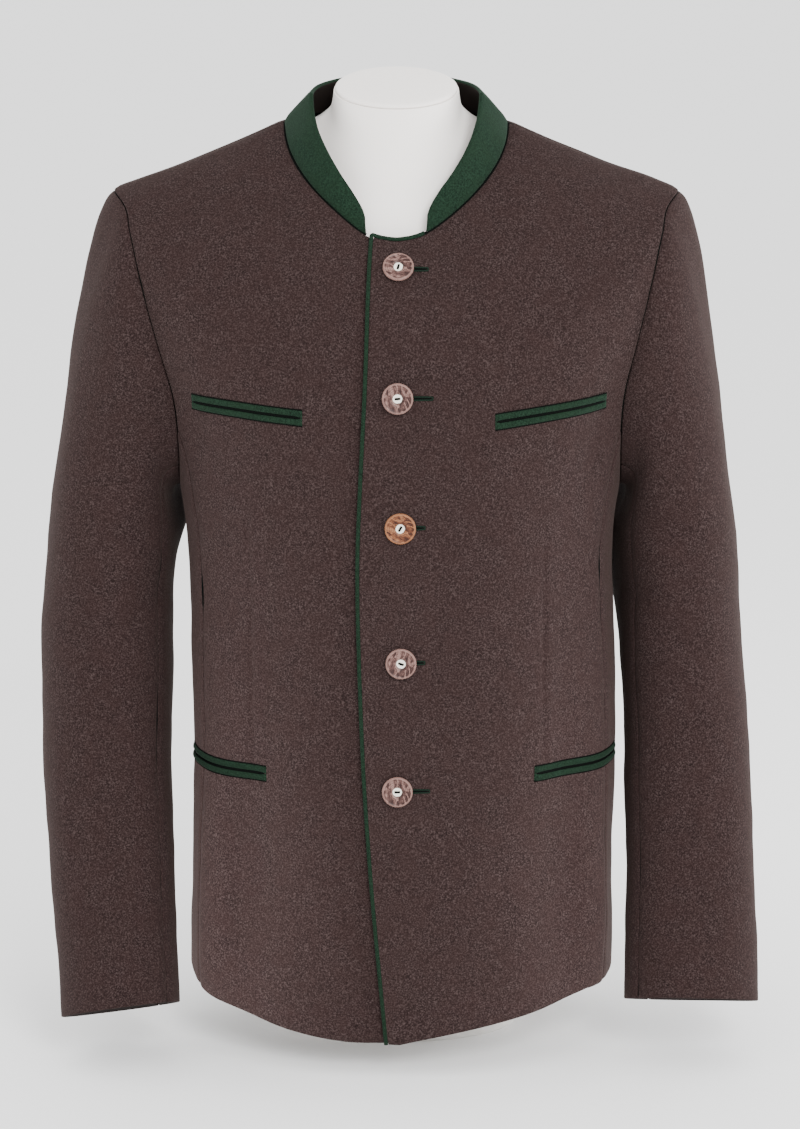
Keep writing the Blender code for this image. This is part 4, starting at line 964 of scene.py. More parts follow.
def flipped(flip, *grids):
    """The grids, with their columns in the other order on the coat's one side."""
    return [grid[:, ::-1] if flip else grid for grid in grids]


def body_rise(angle, points):
    """How far creases and darts lift a body panel."""
    turned = (angle + math.pi) % (2 * math.pi) - math.pi
    return creases_at(COAT_CREASES, turned, points[..., 2], ROUND_BODY) + dart_at(points)


def panel_lines():
    """Angles and distances down along the seams that the body's panels share."""
    front_turn = armhole_crossing(SIDE_SEAM, math.radians(90), math.radians(175))
    back_turn = armhole_crossing(BACK_SEAM, math.radians(185), math.radians(262))
    return {
        "front_turn": front_turn,
        "back_turn": back_turn,
        "shoulder": np.linspace(0, SHOULDER_POINT, SHOULDER_FINE),
        "front": armhole(np.linspace(0, front_turn, ARMHOLE_FINE + 1)[1:]),
        "side": armhole(np.linspace(front_turn, back_turn, SIDE_PANEL_FINE)),
        "back": armhole(np.linspace(back_turn, 2 * math.pi, ARMHOLE_FINE + 1)[-2::-1]),
    }


def make_front(side, lines, finishes):
    below = np.linspace(0, 1, SIDE_FINE + 1)
    seam_angle, seam_down, level = edge_lines(lines["front"], SIDE_SEAM, lines["shoulder"], below)
    sign = sign_of(side)
    edge_angle = front_edge(side, level) * sign
    share = np.linspace(0, 1, FRONT_FINE)[None, :]
    angle = edge_angle[:, None] * (1 - share) + seam_angle[:, None] * share
    down = level[:, None] + (seam_down - level)[:, None] * share**ROW_SWEEP
    points, normals, _, _ = body_frame(sign * angle, down)
    rise = body_rise(sign * angle, points)
    if side == "right":
        from_edge = lap_edge_x(points[..., 2]) - points[..., 0]
        below_neck = smoothstep((EDGE_SINK_TOP - points[..., 2]) / EDGE_SINK_EASE)
        sink = EDGE_SINK * (1 - smoothstep(from_edge / EDGE_SINK_REACH)) * below_neck
        rise = rise - lap_depth(points[..., 0], points[..., 2]) - sink
    points, normals, rise = flipped(side == "right", points, normals, rise)
    seams = ["top", "right" if side == "left" else "left"]
    return shell(f"cloth_front_{side}", f"front_{side}", points, normals, seams, finishes, rise)


def make_side(side, lines, finishes):
    below = np.linspace(0, 1, SIDE_FINE + 1)
    sign = sign_of(side)
    share = np.linspace(0, 1, SIDE_PANEL_FINE)
    low = lines["side"]
    hem_angle = SIDE_SEAM + (BACK_SEAM - SIDE_SEAM) * share
    settle = smoothstep(below * SIDE_SETTLING)[:, None]
    angle = low[0][None, :] * (1 - settle) + hem_angle[None, :] * settle
    down = low[1][None, :] + (HEM - low[1][None, :]) * below[:, None]
    points, normals, _, _ = body_frame(sign * angle, down)
    rise = body_rise(sign * angle, points)
    points, normals, rise = flipped(side == "right", points, normals, rise)
    seams = ["top", "left", "right"]
    return shell(f"cloth_side_{side}", f"side_{side}", points, normals, seams, finishes, rise)


def make_back(side, lines, finishes):
    below = np.linspace(0, 1, SIDE_FINE + 1)
    seam_angle, seam_down, level = edge_lines(lines["back"], BACK_SEAM, lines["shoulder"], below)
    sign = sign_of(side)
    share = np.linspace(0, 1, BACK_FINE)[None, :]
    angle = seam_angle[:, None] * (1 - share) + CENTRE_BACK * share
    down = level[:, None] + (seam_down - level)[:, None] * (1 - share) ** ROW_SWEEP
    points, normals, _, _ = body_frame(sign * angle, down)
    rise = body_rise(sign * angle, points)
    points, normals, rise = flipped(side == "right", points, normals, rise)
    seams = ["top", "left", "right"]
    return shell(f"cloth_back_{side}", f"back_{side}", points, normals, seams, finishes, rise)


def sleeve_seams(side, lines):
    """Turns of a sleeve's two seams, at the solid's own vertices."""
    front = np.linspace(0, lines["front_turn"], ARMHOLE_ROWS + 1)
    low = np.linspace(lines["front_turn"], lines["back_turn"], SIDE_COLUMNS)
    back = np.linspace(lines["back_turn"], 2 * math.pi, ARMHOLE_ROWS + 1)
    turn = np.concatenate([front, low[1:], back[1:-1]])
    fore = turn[np.argmin(np.abs(turn - FOREARM_SEAM[side]))]
    return fore, turn[np.argmin(np.abs(turn - HINDARM_SEAM))]


def make_sleeve(name, side, first, last, steps, finishes):
    turn = np.linspace(first, last, steps)
    shares = np.linspace(0, 1, HEAD_FINE)
    points, start_normal = sleeve_surface(side, turn % (2 * math.pi), shares, SLEEVE_FINE)
    across = np.gradient(points, axis=1)
    normals = unit(np.cross(across, np.gradient(points, axis=0))) * sign_of(side)
    blend = smoothstep(shares * HEAD_BLEND)[:, None, None]
    normals[: len(shares)] = unit(start_normal[None] * (1 - blend) + normals[: len(shares)] * blend)
    rise = creases_at(SLEEVE_CREASES[side], turn[None, :] % (2 * math.pi), points[..., 2], ROUND_SLEEVE)
    points, normals, rise = flipped(side == "left", points, normals, rise)
    seams = ["top", "left", "right"]
    node = f"{name}_sleeve_{side}"
    return shell(f"cloth_{node}", node, points, normals, seams, finishes, rise)


def make_collar(finishes):
    """Stand collar with a rolled top edge."""
    end = collar_end()
    steps = np.linspace(0, 1, COLLAR_FINE // 2)
    crowded = COLLAR_CROWDING * steps**COLLAR_CROWDING_POWER + (1 - COLLAR_CROWDING) * steps
    half = end + (CENTRE_BACK - end) * crowded
    signed = np.concatenate([half, -half[-2::-1]])
    base, normal, _, down_way = body_frame(signed, np.zeros(len(signed)))
    sink = np.where(signed < 0, lap_depth(base[:, 0], base[:, 2]), 0.0)[:, None]
    from_front = np.minimum(np.abs(signed), math.pi / 2)
    twisted = signed + COLLAR_TWIST * np.sin(2 * from_front) * np.sign(signed)
    top = ring_point(COLLAR_TOP, twisted, dip_at_neck)
    top = base + (top - base) * collar_height(signed, end)[:, None]
    base = base - normal * sink - down_way * 2 * SEAM_DRAW
    top = top - normal * sink
    share = np.linspace(1, 0, COLLAR_ROWS_FINE)[:, None, None]
    points = base[None] * (1 - share) + top[None] * share
    normals = unit(np.cross(np.gradient(points, axis=0), np.gradient(points, axis=1)))
    crown = COLLAR_CROWN * np.sin(math.pi * share[..., 0]) + 0 * signed[None]
    return shell("cloth_collar", "collar", points, normals, ["bottom"], finishes, crown, COLLAR_CLOTH)


def add_seam_shade(name, path, normals, dark):
    """Dark bottom of a sewn groove: painted shade, a near-black ribbon sunk where the cloth turns in."""
    path = path - normals * SEAM_DEPTH
    points, faces = ribbon(path, normals, SEAM_HALF_WIDTH, SEAM_HALF_HEIGHT, 6)
    made = new_object(name, points, faces, [dark])
    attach(made, "root")


def add_body_seam_shade(name, angle, down, dark):
    path, normals, _, _ = body_frame(angle, down)
    add_seam_shade(name, path, normals, dark)


def make_neck_seam_shade(dark):
    """Painted shade along the seam between the collar and the coat, and behind the piping at the top of
    the left front: a near-black ribbon in the groove.
    """
    start = front_edge("left", np.zeros(1))[0] + NECK_SEAM_SHORT
    signed = np.linspace(start, 2 * math.pi - collar_end(), COLLAR_FINE)
    signed = (signed + math.pi) % (2 * math.pi) - math.pi
    base, normals, _, _ = body_frame(signed, np.zeros(len(signed)))
    sink = np.where(signed < 0, lap_depth(base[:, 0], base[:, 2]), 0.0)[:, None]
    add_seam_shade("seam_neck", base - normals * sink, normals, dark)


def make_sleeve_seam_shades(side, lines, dark):
    """Painted shade in a sleeve's two seams, a near-black ribbon each, from the armhole to just above
    the cuff's edge.
    """
    for seam, turn in zip(("fore", "hind"), sleeve_seams(side, lines)):
        near = turn + SEAM_TURN * np.array((-1.0, 0.0, 1.0))
        points, _ = sleeve_surface(side, near, np.linspace(0, 1, HEAD_FINE), SLEEVE_FINE)
        across = points[:, 2] - points[:, 0]
        normals = unit(np.cross(across, np.gradient(points[:, 1], axis=0))) * sign_of(side)
        path = points[1:, 1].copy()
        path[-1] += (path[-2] - path[-1]) * CUFF_SHORT
        add_seam_shade(f"seam_{seam}_{side}", path, normals[1:], dark)


def make_seam_shades(lines, dark):
    """The dark bottoms of all the seams, painted shade as near-black ribbons: neck, body, armholes and
    sleeves.
    """
    make_neck_seam_shade(dark)
    steps = np.linspace(SEAM_SHORT, 1, SEAM_STEPS)
    low = 1 - SEAM_SHORT
    add_body_seam_shade("seam_back", np.full(SEAM_STEPS, CENTRE_BACK), HEM * steps * low, dark)
    hole_turns = np.linspace(0, 2 * math.pi, 2 * SEAM_STEPS, endpoint=False)
    long_seams = (("side", SIDE_SEAM, "front"), ("hip", BACK_SEAM, "back"))
    for side in ("right", "left"):
        sign = sign_of(side)
        shoulder = np.full(SEAM_STEPS, sign * SHOULDER_SEAM)
        add_body_seam_shade(f"seam_shoulder_{side}", shoulder, SHOULDER_POINT * steps, dark)
        for seam, angle, panel in long_seams:
            start = lines[panel][1][-1]
            down = start + (HEM * low - start) * steps
            add_body_seam_shade(f"seam_{seam}_{side}", np.full(SEAM_STEPS, sign * angle), down, dark)
        angle, down = armhole(hole_turns)
        add_body_seam_shade(f"seam_armhole_{side}", sign * angle, down, dark)
        make_sleeve_seam_shades(side, lines, dark)


def ribbon(path, normals, half_width, half_height, sides, closed=False):
    """Points and faces of a flattened cord along a path, its flat side on the surface."""
    if closed:
        along = unit(np.roll(path, -1, axis=0) - np.roll(path, 1, axis=0))
    else:
        along = unit(np.gradient(path, axis=0))
    sideways = unit(np.cross(along, normals))
    turns = np.linspace(0, 2 * math.pi, sides, endpoint=False)
    flat, thick = sideways * half_width, normals * half_height
    rings = [path + flat * math.cos(turn) + thick * math.sin(turn) for turn in turns]
    points = np.stack(rings, axis=1).reshape(-1, 3)
    faces = []
    last = len(path) if closed else len(path) - 1
    for ring in range(last):
        after = (ring + 1) % len(path)
        for step in range(sides):
            side = (step + 1) % sides
            here, there = ring * sides, after * sides
            faces.append((here + step, here + side, there + side, there + step))
    if not closed:
        end = (len(path) - 1) * sides
        faces.append(tuple(range(sides - 1, -1, -1)))
        faces.append(tuple(range(end, end + sides)))
    return points, faces


def joined(parts):
    """One list of points, faces and finishes from several."""
    points, faces, finishes = [], [], []
    for found, their_faces, finish in parts:
        start = sum(len(p) for p in points)
        points.append(found)
        faces += [tuple(corner + start for corner in face) for face in their_faces]
        finishes += finish if isinstance(finish, list) else [finish] * len(their_faces)
    return np.concatenate(points), faces, finishes


def make_piping(lines, finish):
    """Green piping along the left front's top end and down its edge."""
    end = collar_end() - PIPING_SHORT
    first = front_edge("left", np.zeros(1))[0]
    top_angle = np.linspace(end, first, PIPING_TOP_FINE)
    points, normal, round_way, down_way = body_frame(top_angle, np.zeros(len(top_angle)))
    reach = PIPING_RADIUS + PIPING_GAP
    over_top = (points - down_way * reach - normal * PIPING_SINK)[:-1]
    corner = points[-1] - normal[-1] * PIPING_SINK
    turns = np.radians(range(0, 91, 10))
    ways = [down_way[-1] * math.cos(turn) + round_way[-1] * math.sin(turn) for turn in turns]
    round_corner = np.array([corner - way * reach for way in ways])
    below = np.linspace(0, 1, SIDE_FINE + 1)
    level = edge_lines(lines["front"], SIDE_SEAM, lines["shoulder"], below)[2]
    points, side_normal, round_way, _ = body_frame(front_edge("left", level), level)
    down_edge = points - round_way * reach - side_normal * PIPING_SINK
    down_edge = (down_edge + side_normal * waves_at(points)[:, None])[1:]
    path = np.concatenate([over_top, round_corner, down_edge])
    normals = np.concatenate([normal[:-1], np.repeat(normal[-1:], len(ways), axis=0), side_normal[1:]])
    points, faces = ribbon(path, normals, PIPING_HALF_WIDTH, PIPING_HALF_HEIGHT, 12)
    made = new_object("cloth_piping", points, faces, [finish])
    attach(made, "root")
    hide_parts("front_piping")
    return made


def lip_wall(angle, down):
    """Parts of one padded pocket lip, rounded across and at its ends."""
    points, normals, _, _ = body_frame(angle, down)
    rows, columns = points.shape[:2]
    across = np.linspace(-1, 1, rows)[:, None]
    along = np.linspace(0, 1, columns)[None, :]
    length = np.linalg.norm(points[0, -1] - points[0, 0])
    from_end = np.minimum(along, 1 - along) * length
    full = LIP_END_SHARE + (1 - LIP_END_SHARE) * smoothstep(from_end / LIP_END_REACH)
    crown = np.sqrt(np.maximum(1 - np.abs(across) ** LIP_ROUNDNESS, 0)) * full
    height = LIP_LIFT + LIP_CLOTH * LIP_SWELL * crown + waves_at(points)
    return wall_parts(points + normals * height[..., None], points - normals * LIP_SINK, LIP_BULGE)


def pocket_grid(side, kind, low, high, rows, columns):
    """Angles and distances down of a strip of a pocket, between two heights from its middle."""
    share = np.linspace(0, 1, columns)
    reach = np.linspace(high + 0 * share, low + 0 * share, rows)
    if kind == "chest":
        (x0, z0), (x1, z1) = CHEST_POCKET_ENDS[side]
        x = np.broadcast_to(x0 + (x1 - x0) * share, (rows, columns))
        z = z0 + (z1 - z0) * share + reach
        return locate(0, x, z, -POCKET_REACH, POCKET_REACH)
    first, last = (math.radians(a) for a in HIP_POCKET_ANGLES[side])
    angle = np.broadcast_to(np.linspace(first, last, columns), (rows, columns))
    return angle, find_down(angle, HIP_POCKET_Z[side] + reach + 0 * angle)


def make_pocket(side, kind, green, slit):
    """Both lips of a pocket, the dark slit between them and a dark outline round them. Slit and outline
    are painted shade: near-black strips and cords.
    """
    rows, columns = LIP_FINE
    parts = []
    inner, outer = SLIT / 2, SLIT / 2 + LIP_WIDTH
    share = np.linspace(0, 1, columns)
    gap = LIP_MEET + (inner + LIP_INSET) * smoothstep(np.minimum(share, 1 - share) / LIP_CLOSING)
    for low, high in ((gap, outer), (-outer, -gap)):
        points, faces, _ = lip_wall(*pocket_grid(side, kind, low, high, rows, columns))
        parts.append((points, faces, 0))
    # The slit between the lips: painted shade, a near-black strip.
    dark_reach = inner + LIP_INSET * 1.5
    angle, down = pocket_grid(side, kind, -dark_reach, dark_reach, 3, columns)
    points, normals, _, _ = body_frame(angle[:, 1:-1], down[:, 1:-1])
    rise = waves_at(points)[..., None]
    lower = points - normals * LIP_SINK
    points, faces, _ = wall_parts(points + normals * (rise + SLIT_LIFT), lower, 0.0)
    parts.append((points, faces, 1))
    # Dark outline round the lips: painted shade, thin near-black cords where the lips meet the cloth.
    for reach in (outer + OUTLINE_GAP, -outer - OUTLINE_GAP):
        points, normals, _, _ = body_frame(*pocket_grid(side, kind, reach, reach, 1, columns))
        path, normals = points[0], normals[0]
        path = path + normals * (waves_at(path) + OUTLINE_LIFT)[:, None]
        points, faces = ribbon(path, normals, OUTLINE_HALF_WIDTH, OUTLINE_HALF_HEIGHT, 6)
        parts.append((points, faces, 1))
    points, faces, finishes = joined(parts)
    made = new_object(f"pocket_{kind}_{side}", points, faces, [green, slit], finishes)
    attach(made, "root")
    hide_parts(f"{kind}_pocket_upper_{side}", f"{kind}_pocket_lower_{side}")
    return made


def on_front(x, z, lift):
    """Path on the fronts through points given by x and z, lifted off the cloth, and its normals."""
    path, normals, _, _ = body_frame(*locate(0, x, z, -FRONT_REACH, FRONT_REACH))
    return path + normals * (waves_at(path) + lift)[:, None], normals


def make_buttonhole(name, button_x, button_z, end, thread, dark):
    """Bound buttonhole: a loop of green thread round a dark slit, to the right of a button. The slit is
    painted shade, a near-black strip.
    """
    half = (end - button_x + BUTTONHOLE_START) / 2
    centre = end - half
    straight = half - BUTTONHOLE_HALF_WIDTH
    turns = np.linspace(0, 2 * math.pi, BUTTONHOLE_FINE, endpoint=False)
    across, up = np.cos(turns), np.sin(turns)
    x = centre + np.clip(across * BUTTONHOLE_SQUARENESS, -1, 1) * straight
    x = x + across * BUTTONHOLE_HALF_WIDTH
    z = button_z + np.sign(up) * np.abs(up) ** BUTTONHOLE_FLATNESS * BUTTONHOLE_HALF_WIDTH
    path, normals = on_front(x, z, BINDING_LIFT)
    points, faces = ribbon(path, normals, BINDING_RADIUS, BINDING_RADIUS, 8, closed=True)
    # The slit inside the loop: painted shade, a near-black strip.
    hole_x = centre + np.linspace(-1, 1, HOLE_FINE) * straight
    path, normals = on_front(hole_x, np.full(HOLE_FINE, button_z), HOLE_LIFT)
    hole_points, hole_faces = ribbon(path, normals, HOLE_HALF_WIDTH, HOLE_HALF_HEIGHT, 6)
    points, faces, finishes = joined([(points, faces, 0), (hole_points, hole_faces, 1)])
    made = new_object(f"hole_of_{name}", points, faces, [thread, dark], finishes)
    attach(made, "root")


def button_seat(x, z):
    """Centre of a button's back, clear of the cloth all round it, and the way it faces."""
    middle = locate(0, np.array([x]), np.array([z]), -FRONT_REACH, FRONT_REACH)
    centre = body(*middle)[0]
    turns = np.linspace(0, 2 * math.pi, 12, endpoint=False)
    around_x = x + BUTTON_RADIUS * np.cos(turns)
    around_z = z + BUTTON_RADIUS * np.sin(turns)
    rim = body(*locate(0, around_x, around_z, -BUTTON_REACH, BUTTON_REACH))
    out = unit(np.cross(rim[3] - rim[9], rim[6] - rim[0]))
    lift = max(0.0, float(((rim - centre) @ out).max())) + TRIM_LIFT
    return centre + out * lift, out


def make_button(name, x, z, turn, horn, thread):
    """Turned horn button with a pale core and its thread."""
    steps = BUTTON_STEPS
    turns = np.linspace(0, 2 * math.pi, steps, endpoint=False)
    points = np.array([(r * math.cos(t), r * math.sin(t), z) for r, z in BUTTON_PROFILE for t in turns])
    faces = []
    for level in range(len(BUTTON_PROFILE) - 1):
        for step in range(steps):
            a, b = level * steps + step, level * steps + (step + 1) % steps
            faces.append((a, b, b + steps, a + steps))
    along = np.linspace(-1, 1, THREAD_FINE)
    arch = THREAD_LEVEL + THREAD_ARCH * (1 - along**2)
    path = np.stack([along * THREAD_HALF_LENGTH, 0 * along, arch], axis=1)
    upright = np.tile((0.0, 0.0, 1.0), (THREAD_FINE, 1))
    cord, cord_faces = ribbon(path, upright, THREAD_HALF_WIDTH, THREAD_HALF_HEIGHT, 8)
    points, faces, finishes = joined([(points, faces, 0), (cord, cord_faces, 1)])
    made = new_object(f"horn_{name}", points, faces, [horn, thread], finishes)
    centre, out = button_seat(x, z)
    across = unit(np.cross((0.0, 0.0, 1.0), out))
    up = np.cross(out, across)
    tilt = math.radians(turn)
    first = across * math.cos(tilt) + up * math.sin(tilt)
    second = np.cross(out, first)
    turned = Matrix((first, second, out)).transposed().to_4x4()
    made.matrix_world = Matrix.Translation(tuple(centre)) @ turned
    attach(made, "root")
    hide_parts(name)


def ring_faces(rings, upward):
    """Faces over a stack of rings and its two ends. upward tells whether the rings climb."""
    rows, columns = rings.shape[:2]
    index = np.arange(rows * columns).reshape(rows, columns)
    after = np.roll(index, -1, axis=1)
    if upward:
        corners = [index[:-1], after[:-1], after[1:], index[1:]]
    else:
        corners = [index[:-1], index[1:], after[1:], after[:-1]]
    faces = np.stack(corners, axis=-1).reshape(-1, 4).tolist()
    way = -1 if upward else 1
    faces.append(tuple(index[0, ::way]))
    faces.append(tuple(index[-1, ::-way]))
    return faces


def make_form(finish):
    """Smooth torso of the dress form, on the solid's own surface."""
    angle = np.linspace(-math.pi, math.pi, FORM_COLUMNS_FINE, endpoint=False)
    rings = []
    neck = list(FORM_NECK_RINGS.values())
    corners = np.array([ring_point(ring, angle, slanted) for ring in neck])
    joint = body_frame(angle, np.zeros(FORM_COLUMNS_FINE), smooth_body)
    first = joint[0] - joint[1] * form_depth(angle, np.zeros(FORM_COLUMNS_FINE))[:, None]
    knots = np.concatenate([corners, first[None]])
    for step in np.linspace(0, len(neck), FORM_NECK_FINE)[:-1]:
        at = np.full(FORM_COLUMNS_FINE, step)
        rings.append(monotone_each(np.arange(len(knots)), knots, at))
    for down in HEM * np.linspace(0, 1, FORM_ROWS_FINE) ** FORM_ROW_SWEEP:
        here = np.full(FORM_COLUMNS_FINE, down)
        points, normal, _, _ = body_frame(angle, here, smooth_body)
        points = points - normal * (form_depth(angle, here)[:, None] + FORM_EXTRA_DEPTH)
        points[:, 2] = np.maximum(points[:, 2], FORM_BOTTOM_Z)
        rings.append(points)
        if points[:, 2].max() <= FORM_BOTTOM_Z + 1e-6:
            break
    rings = np.array(rings)
    made = new_object("jersey_torso", rings.reshape(-1, 3), ring_faces(rings, False), [finish])
    made.data.set_sharp_from_angle(angle=FORM_SHARP)
    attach(made, "root")
    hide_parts("form_torso")


def make_neck_cap(finish):
    """Low domed cap of the neck."""
    angle = np.linspace(-math.pi, math.pi, FORM_COLUMNS_FINE, endpoint=False)
    rim = ring_point(FORM_NECK_RINGS["neck top"], angle, slanted)
    centre = rim.mean(axis=0)
    size = dict(zip(RING_COLUMNS, FORM_NECK_RINGS["neck top"]))
    slant = np.array([0, size["front"] + size["back"], size["z_back"] - size["z_front"]])
    up = unit(np.cross((1.0, 0.0, 0.0), slant))
    inset = 1 - NECK_CAP_INSET / size["half_width"]
    levels = [(1.0, 0.0), (1.0, NECK_CAP_EDGE)]
    for turn in np.linspace(0.25, 1.5, 10):
        levels.append((math.cos(turn), NECK_CAP_EDGE + (1 - NECK_CAP_EDGE) * math.sin(turn)))
    rings = []
    for share, rise in levels:
        ring = centre + (rim - centre) * inset * share
        rings.append(ring + up * (SEAT_GAP + NECK_CAP_RISE * rise))
    rings = np.array(rings)
    made = new_object("jersey_neck_cap", rings.reshape(-1, 3), ring_faces(rings, True), [finish])
    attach(made, "root")
    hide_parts("form_neck_cap")


class Nodes:
    """Short hand for building one procedural material."""

    def __init__(self, name, roughness, **values):
        """values are inputs of the shader, by names with _ for each space."""
        self.material = bpy.data.materials.new(name)
        self.material.use_nodes = True
        self.tree = self.material.node_tree
        self.shader = self.tree.nodes["Principled BSDF"]
        self.shader.inputs["Roughness"].default_value = roughness
        for key, value in values.items():
            self.shader.inputs[key.replace("_", " ")].default_value = value
        self.place = self.tree.nodes.new("ShaderNodeTexCoord").outputs["Object"]

    def add(self, kind, links, **settings):
        node = self.tree.nodes.new(kind)
        for key, value in settings.items():
            setattr(node, key, value)
        for key, value in links.items():
            if hasattr(value, "is_linked"):
                self.tree.links.new(value, node.inputs[key])
            else:
                node.inputs[key].default_value = value
        return node

    def noise(self, scale, detail=2.0, roughness=0.5, distortion=0.0, vector=None):
        links = {"Vector": vector or self.place, "Scale": scale, "Detail": detail}
        links.update({"Roughness": roughness, "Distortion": distortion})
        return self.add("ShaderNodeTexNoise", links).outputs["Fac"]

    def moved(self, offset=(0, 0, 0), scale=(1, 1, 1)):
        links = {"Vector": self.place, "Location": offset, "Scale": scale}
        return self.add("ShaderNodeMapping", links).outputs["Vector"]

    def ramp(self, value, stops):
        node = self.add("ShaderNodeValToRGB", {"Fac": value})
        ramp = node.color_ramp
        while len(ramp.elements) < len(stops):
            ramp.elements.new(0.5)
        for element, (at, colour) in zip(ramp.elements, stops):
            element.position = at
            element.color = colour
        return node.outputs["Color"]

    def between(self, value, low, high, to_low=0.0, to_high=1.0):
        links = {"Value": value, "From Min": low, "From Max": high, "To Min": to_low, "To Max": to_high}
        return self.add("ShaderNodeMapRange", links).outputs["Result"]

    def mix(self, factor, first, second):
        node = self.add("ShaderNodeMix", {}, data_type="RGBA")
        for socket, value in ((0, factor), (6, first), (7, second)):
            if hasattr(value, "is_linked"):
                self.tree.links.new(value, node.inputs[socket])
            else:
                node.inputs[socket].default_value = value
        return node.outputs[2]

    def math(self, operation, first, second):
        return self.add("ShaderNodeMath", {0: first, 1: second}, operation=operation).outputs[0]

    def bump(self, height, strength, distance):
        links = {"Height": height, "Strength": strength, "Distance": distance}
        return self.add("ShaderNodeBump", links).outputs["Normal"]

    def finish(self, colour, normal):
        self.tree.links.new(colour, self.shader.inputs["Base Color"])
        self.tree.links.new(normal, self.shader.inputs["Normal"])
        return self.material


def wool(name, deep, middle, pale, warm, sheen, tint):
    """Fulled melange wool: fibres of several shades, felted, with a short nap."""
    nap = {"Sheen_Weight": sheen, "Sheen_Roughness": 0.45, "Sheen_Tint": tint}
    made = Nodes(name, 0.95, Specular_IOR_Level=WOOL_SHINE, **nap)
    fibre = made.noise(780, 2.0, 0.6)
    colour = made.ramp(fibre, ((0.33, deep), (0.50, middle), (0.68, pale)))
    light = made.between(made.noise(1050, 2.0, 0.6, vector=made.moved((3.1, 1.7, 0.4))), 0.60, 0.72)
    colour = made.mix(made.math("MULTIPLY", light, 0.50), colour, pale)
    dark = made.between(made.noise(900, 2.0, 0.6, vector=made.moved((0.9, 5.2, 2.6))), 0.60, 0.74)
    colour = made.mix(made.math("MULTIPLY", dark, 0.55), colour, deep)
    drift = made.between(made.noise(60, 3.0, 0.55), 0.35, 0.65)
    colour = made.mix(made.math("MULTIPLY", drift, 0.40), colour, warm)
    felt = made.noise(1200, 2.0, 0.7)
    height = made.math("ADD", felt, made.math("MULTIPLY", made.noise(330, 2.0, 0.5), 0.6))
    return made.finish(colour, made.bump(height, 0.30, 0.0005))


def horn(name, light, middle, dark, core):
    """Polished antler or horn: mottled turning rings round a pale oval core, and a pale rim."""
    made = Nodes(name, 0.42, Coat_Weight=0.05, Coat_Roughness=0.2, Specular_IOR_Level=0.12)
    stretched = made.moved((0.3, 0.7, 0.1), (1.0, 0.45, 1.0))
    marks = made.noise(270, 4.0, 0.6, 1.2, stretched)
    colour = made.ramp(marks, ((0.38, dark), (0.48, middle), (0.58, light)))
    round_middle = made.moved((0, 0, 0), (1.0, 1.0, 0.0))
    length = made.add("ShaderNodeVectorMath", {0: round_middle}, operation="LENGTH").outputs["Value"]
    wander = made.math("MULTIPLY", made.noise(260, 2.0, 0.5), HORN_RING_WANDER)
    ring = made.math("SINE", made.math("MULTIPLY", made.math("ADD", length, wander), HORN_RINGS), 0.0)
    colour = made.mix(made.math("MULTIPLY", made.between(ring, 0.1, 0.9), 0.40), colour, dark)
    streak = made.between(made.noise(210, 5.0, 0.65, 2.5), 0.54, 0.64)
    colour = made.mix(made.math("MULTIPLY", streak, 0.60), colour, dark)
    rim = made.between(length, *HORN_RIM)
    colour = made.mix(made.math("MULTIPLY", rim, 0.75), colour, light)
    oval = made.moved((0, 0, 0), (1.08, 1.14, 0.0))
    away = made.add("ShaderNodeVectorMath", {0: oval}, operation="LENGTH").outputs["Value"]
    ragged = made.math("ADD", away, made.math("MULTIPLY", made.noise(500, 2.0, 0.5), 0.0008))
    inside = made.between(ragged, 0.0042, 0.0048, 1.0, 0.0)
    colour = made.mix(inside, colour, core)
    return made.finish(colour, made.bump(marks, 0.20, 0.0003))


def plain(name, colour, shade, scale, roughness, bump=0.1, coat=0.0, shine=0.5):
    """A single material with fine variation and grain."""
    made = Nodes(name, roughness, Coat_Weight=coat, Specular_IOR_Level=shine)
    mixed = made.mix(made.noise(scale, 3.0, 0.6), colour, shade)
    return made.finish(mixed, made.bump(made.noise(scale * 1.7, 2.0, 0.6), bump, 0.0003))


def jersey(name, colour, shade):
    """Fine knitted cover: narrow ribs down and soft shade changes."""
    made = Nodes(name, 0.85, Sheen_Weight=0.15)
    mixed = made.mix(made.noise(9, 2.0, 0.5), colour, shade)
    links = {"Vector": made.place, "Scale": 260.0, "Distortion": 1.5, "Detail": 1.0}
    ribs = made.add("ShaderNodeTexWave", links, bands_direction="X").outputs["Fac"]
    height = made.math("ADD", ribs, made.noise(900, 2.0, 0.6))
    return made.finish(mixed, made.bump(height, 0.12, 0.0002))


def lighting():
    """Plain soft studio light: a bright surround and three large lamps."""
    world = bpy.data.worlds.new("studio")
    world.use_nodes = True
    surround = world.node_tree.nodes["Background"]
    surround.inputs["Color"].default_value = (1.0, 1.0, 1.0, 1.0)
    surround.inputs["Strength"].default_value = WORLD_STRENGTH
    bpy.context.scene.world = world
    for name, (x, y, z, size, power) in LAMPS.items():
        add_lamp(name, (x, y, z), size, power, LAMP_TARGET)


def add_lamp(name, place, size, power, target):
    """Round soft lamp at a place, facing a target."""
    lamp = bpy.data.lights.new(name, "AREA")
    lamp.shape = "DISK"
    lamp.size = size
    lamp.energy = power
    made = bpy.data.objects.new(name, lamp)
    bpy.context.scene.collection.objects.link(made)
    way = unit(np.array(place) - np.array(target))
    side = unit(np.cross((0.0, 0.0, 1.0), way))
    turn = Matrix((side, np.cross(way, side), way)).transposed().to_4x4()
    made.matrix_world = Matrix.Translation(place) @ turn
    return made


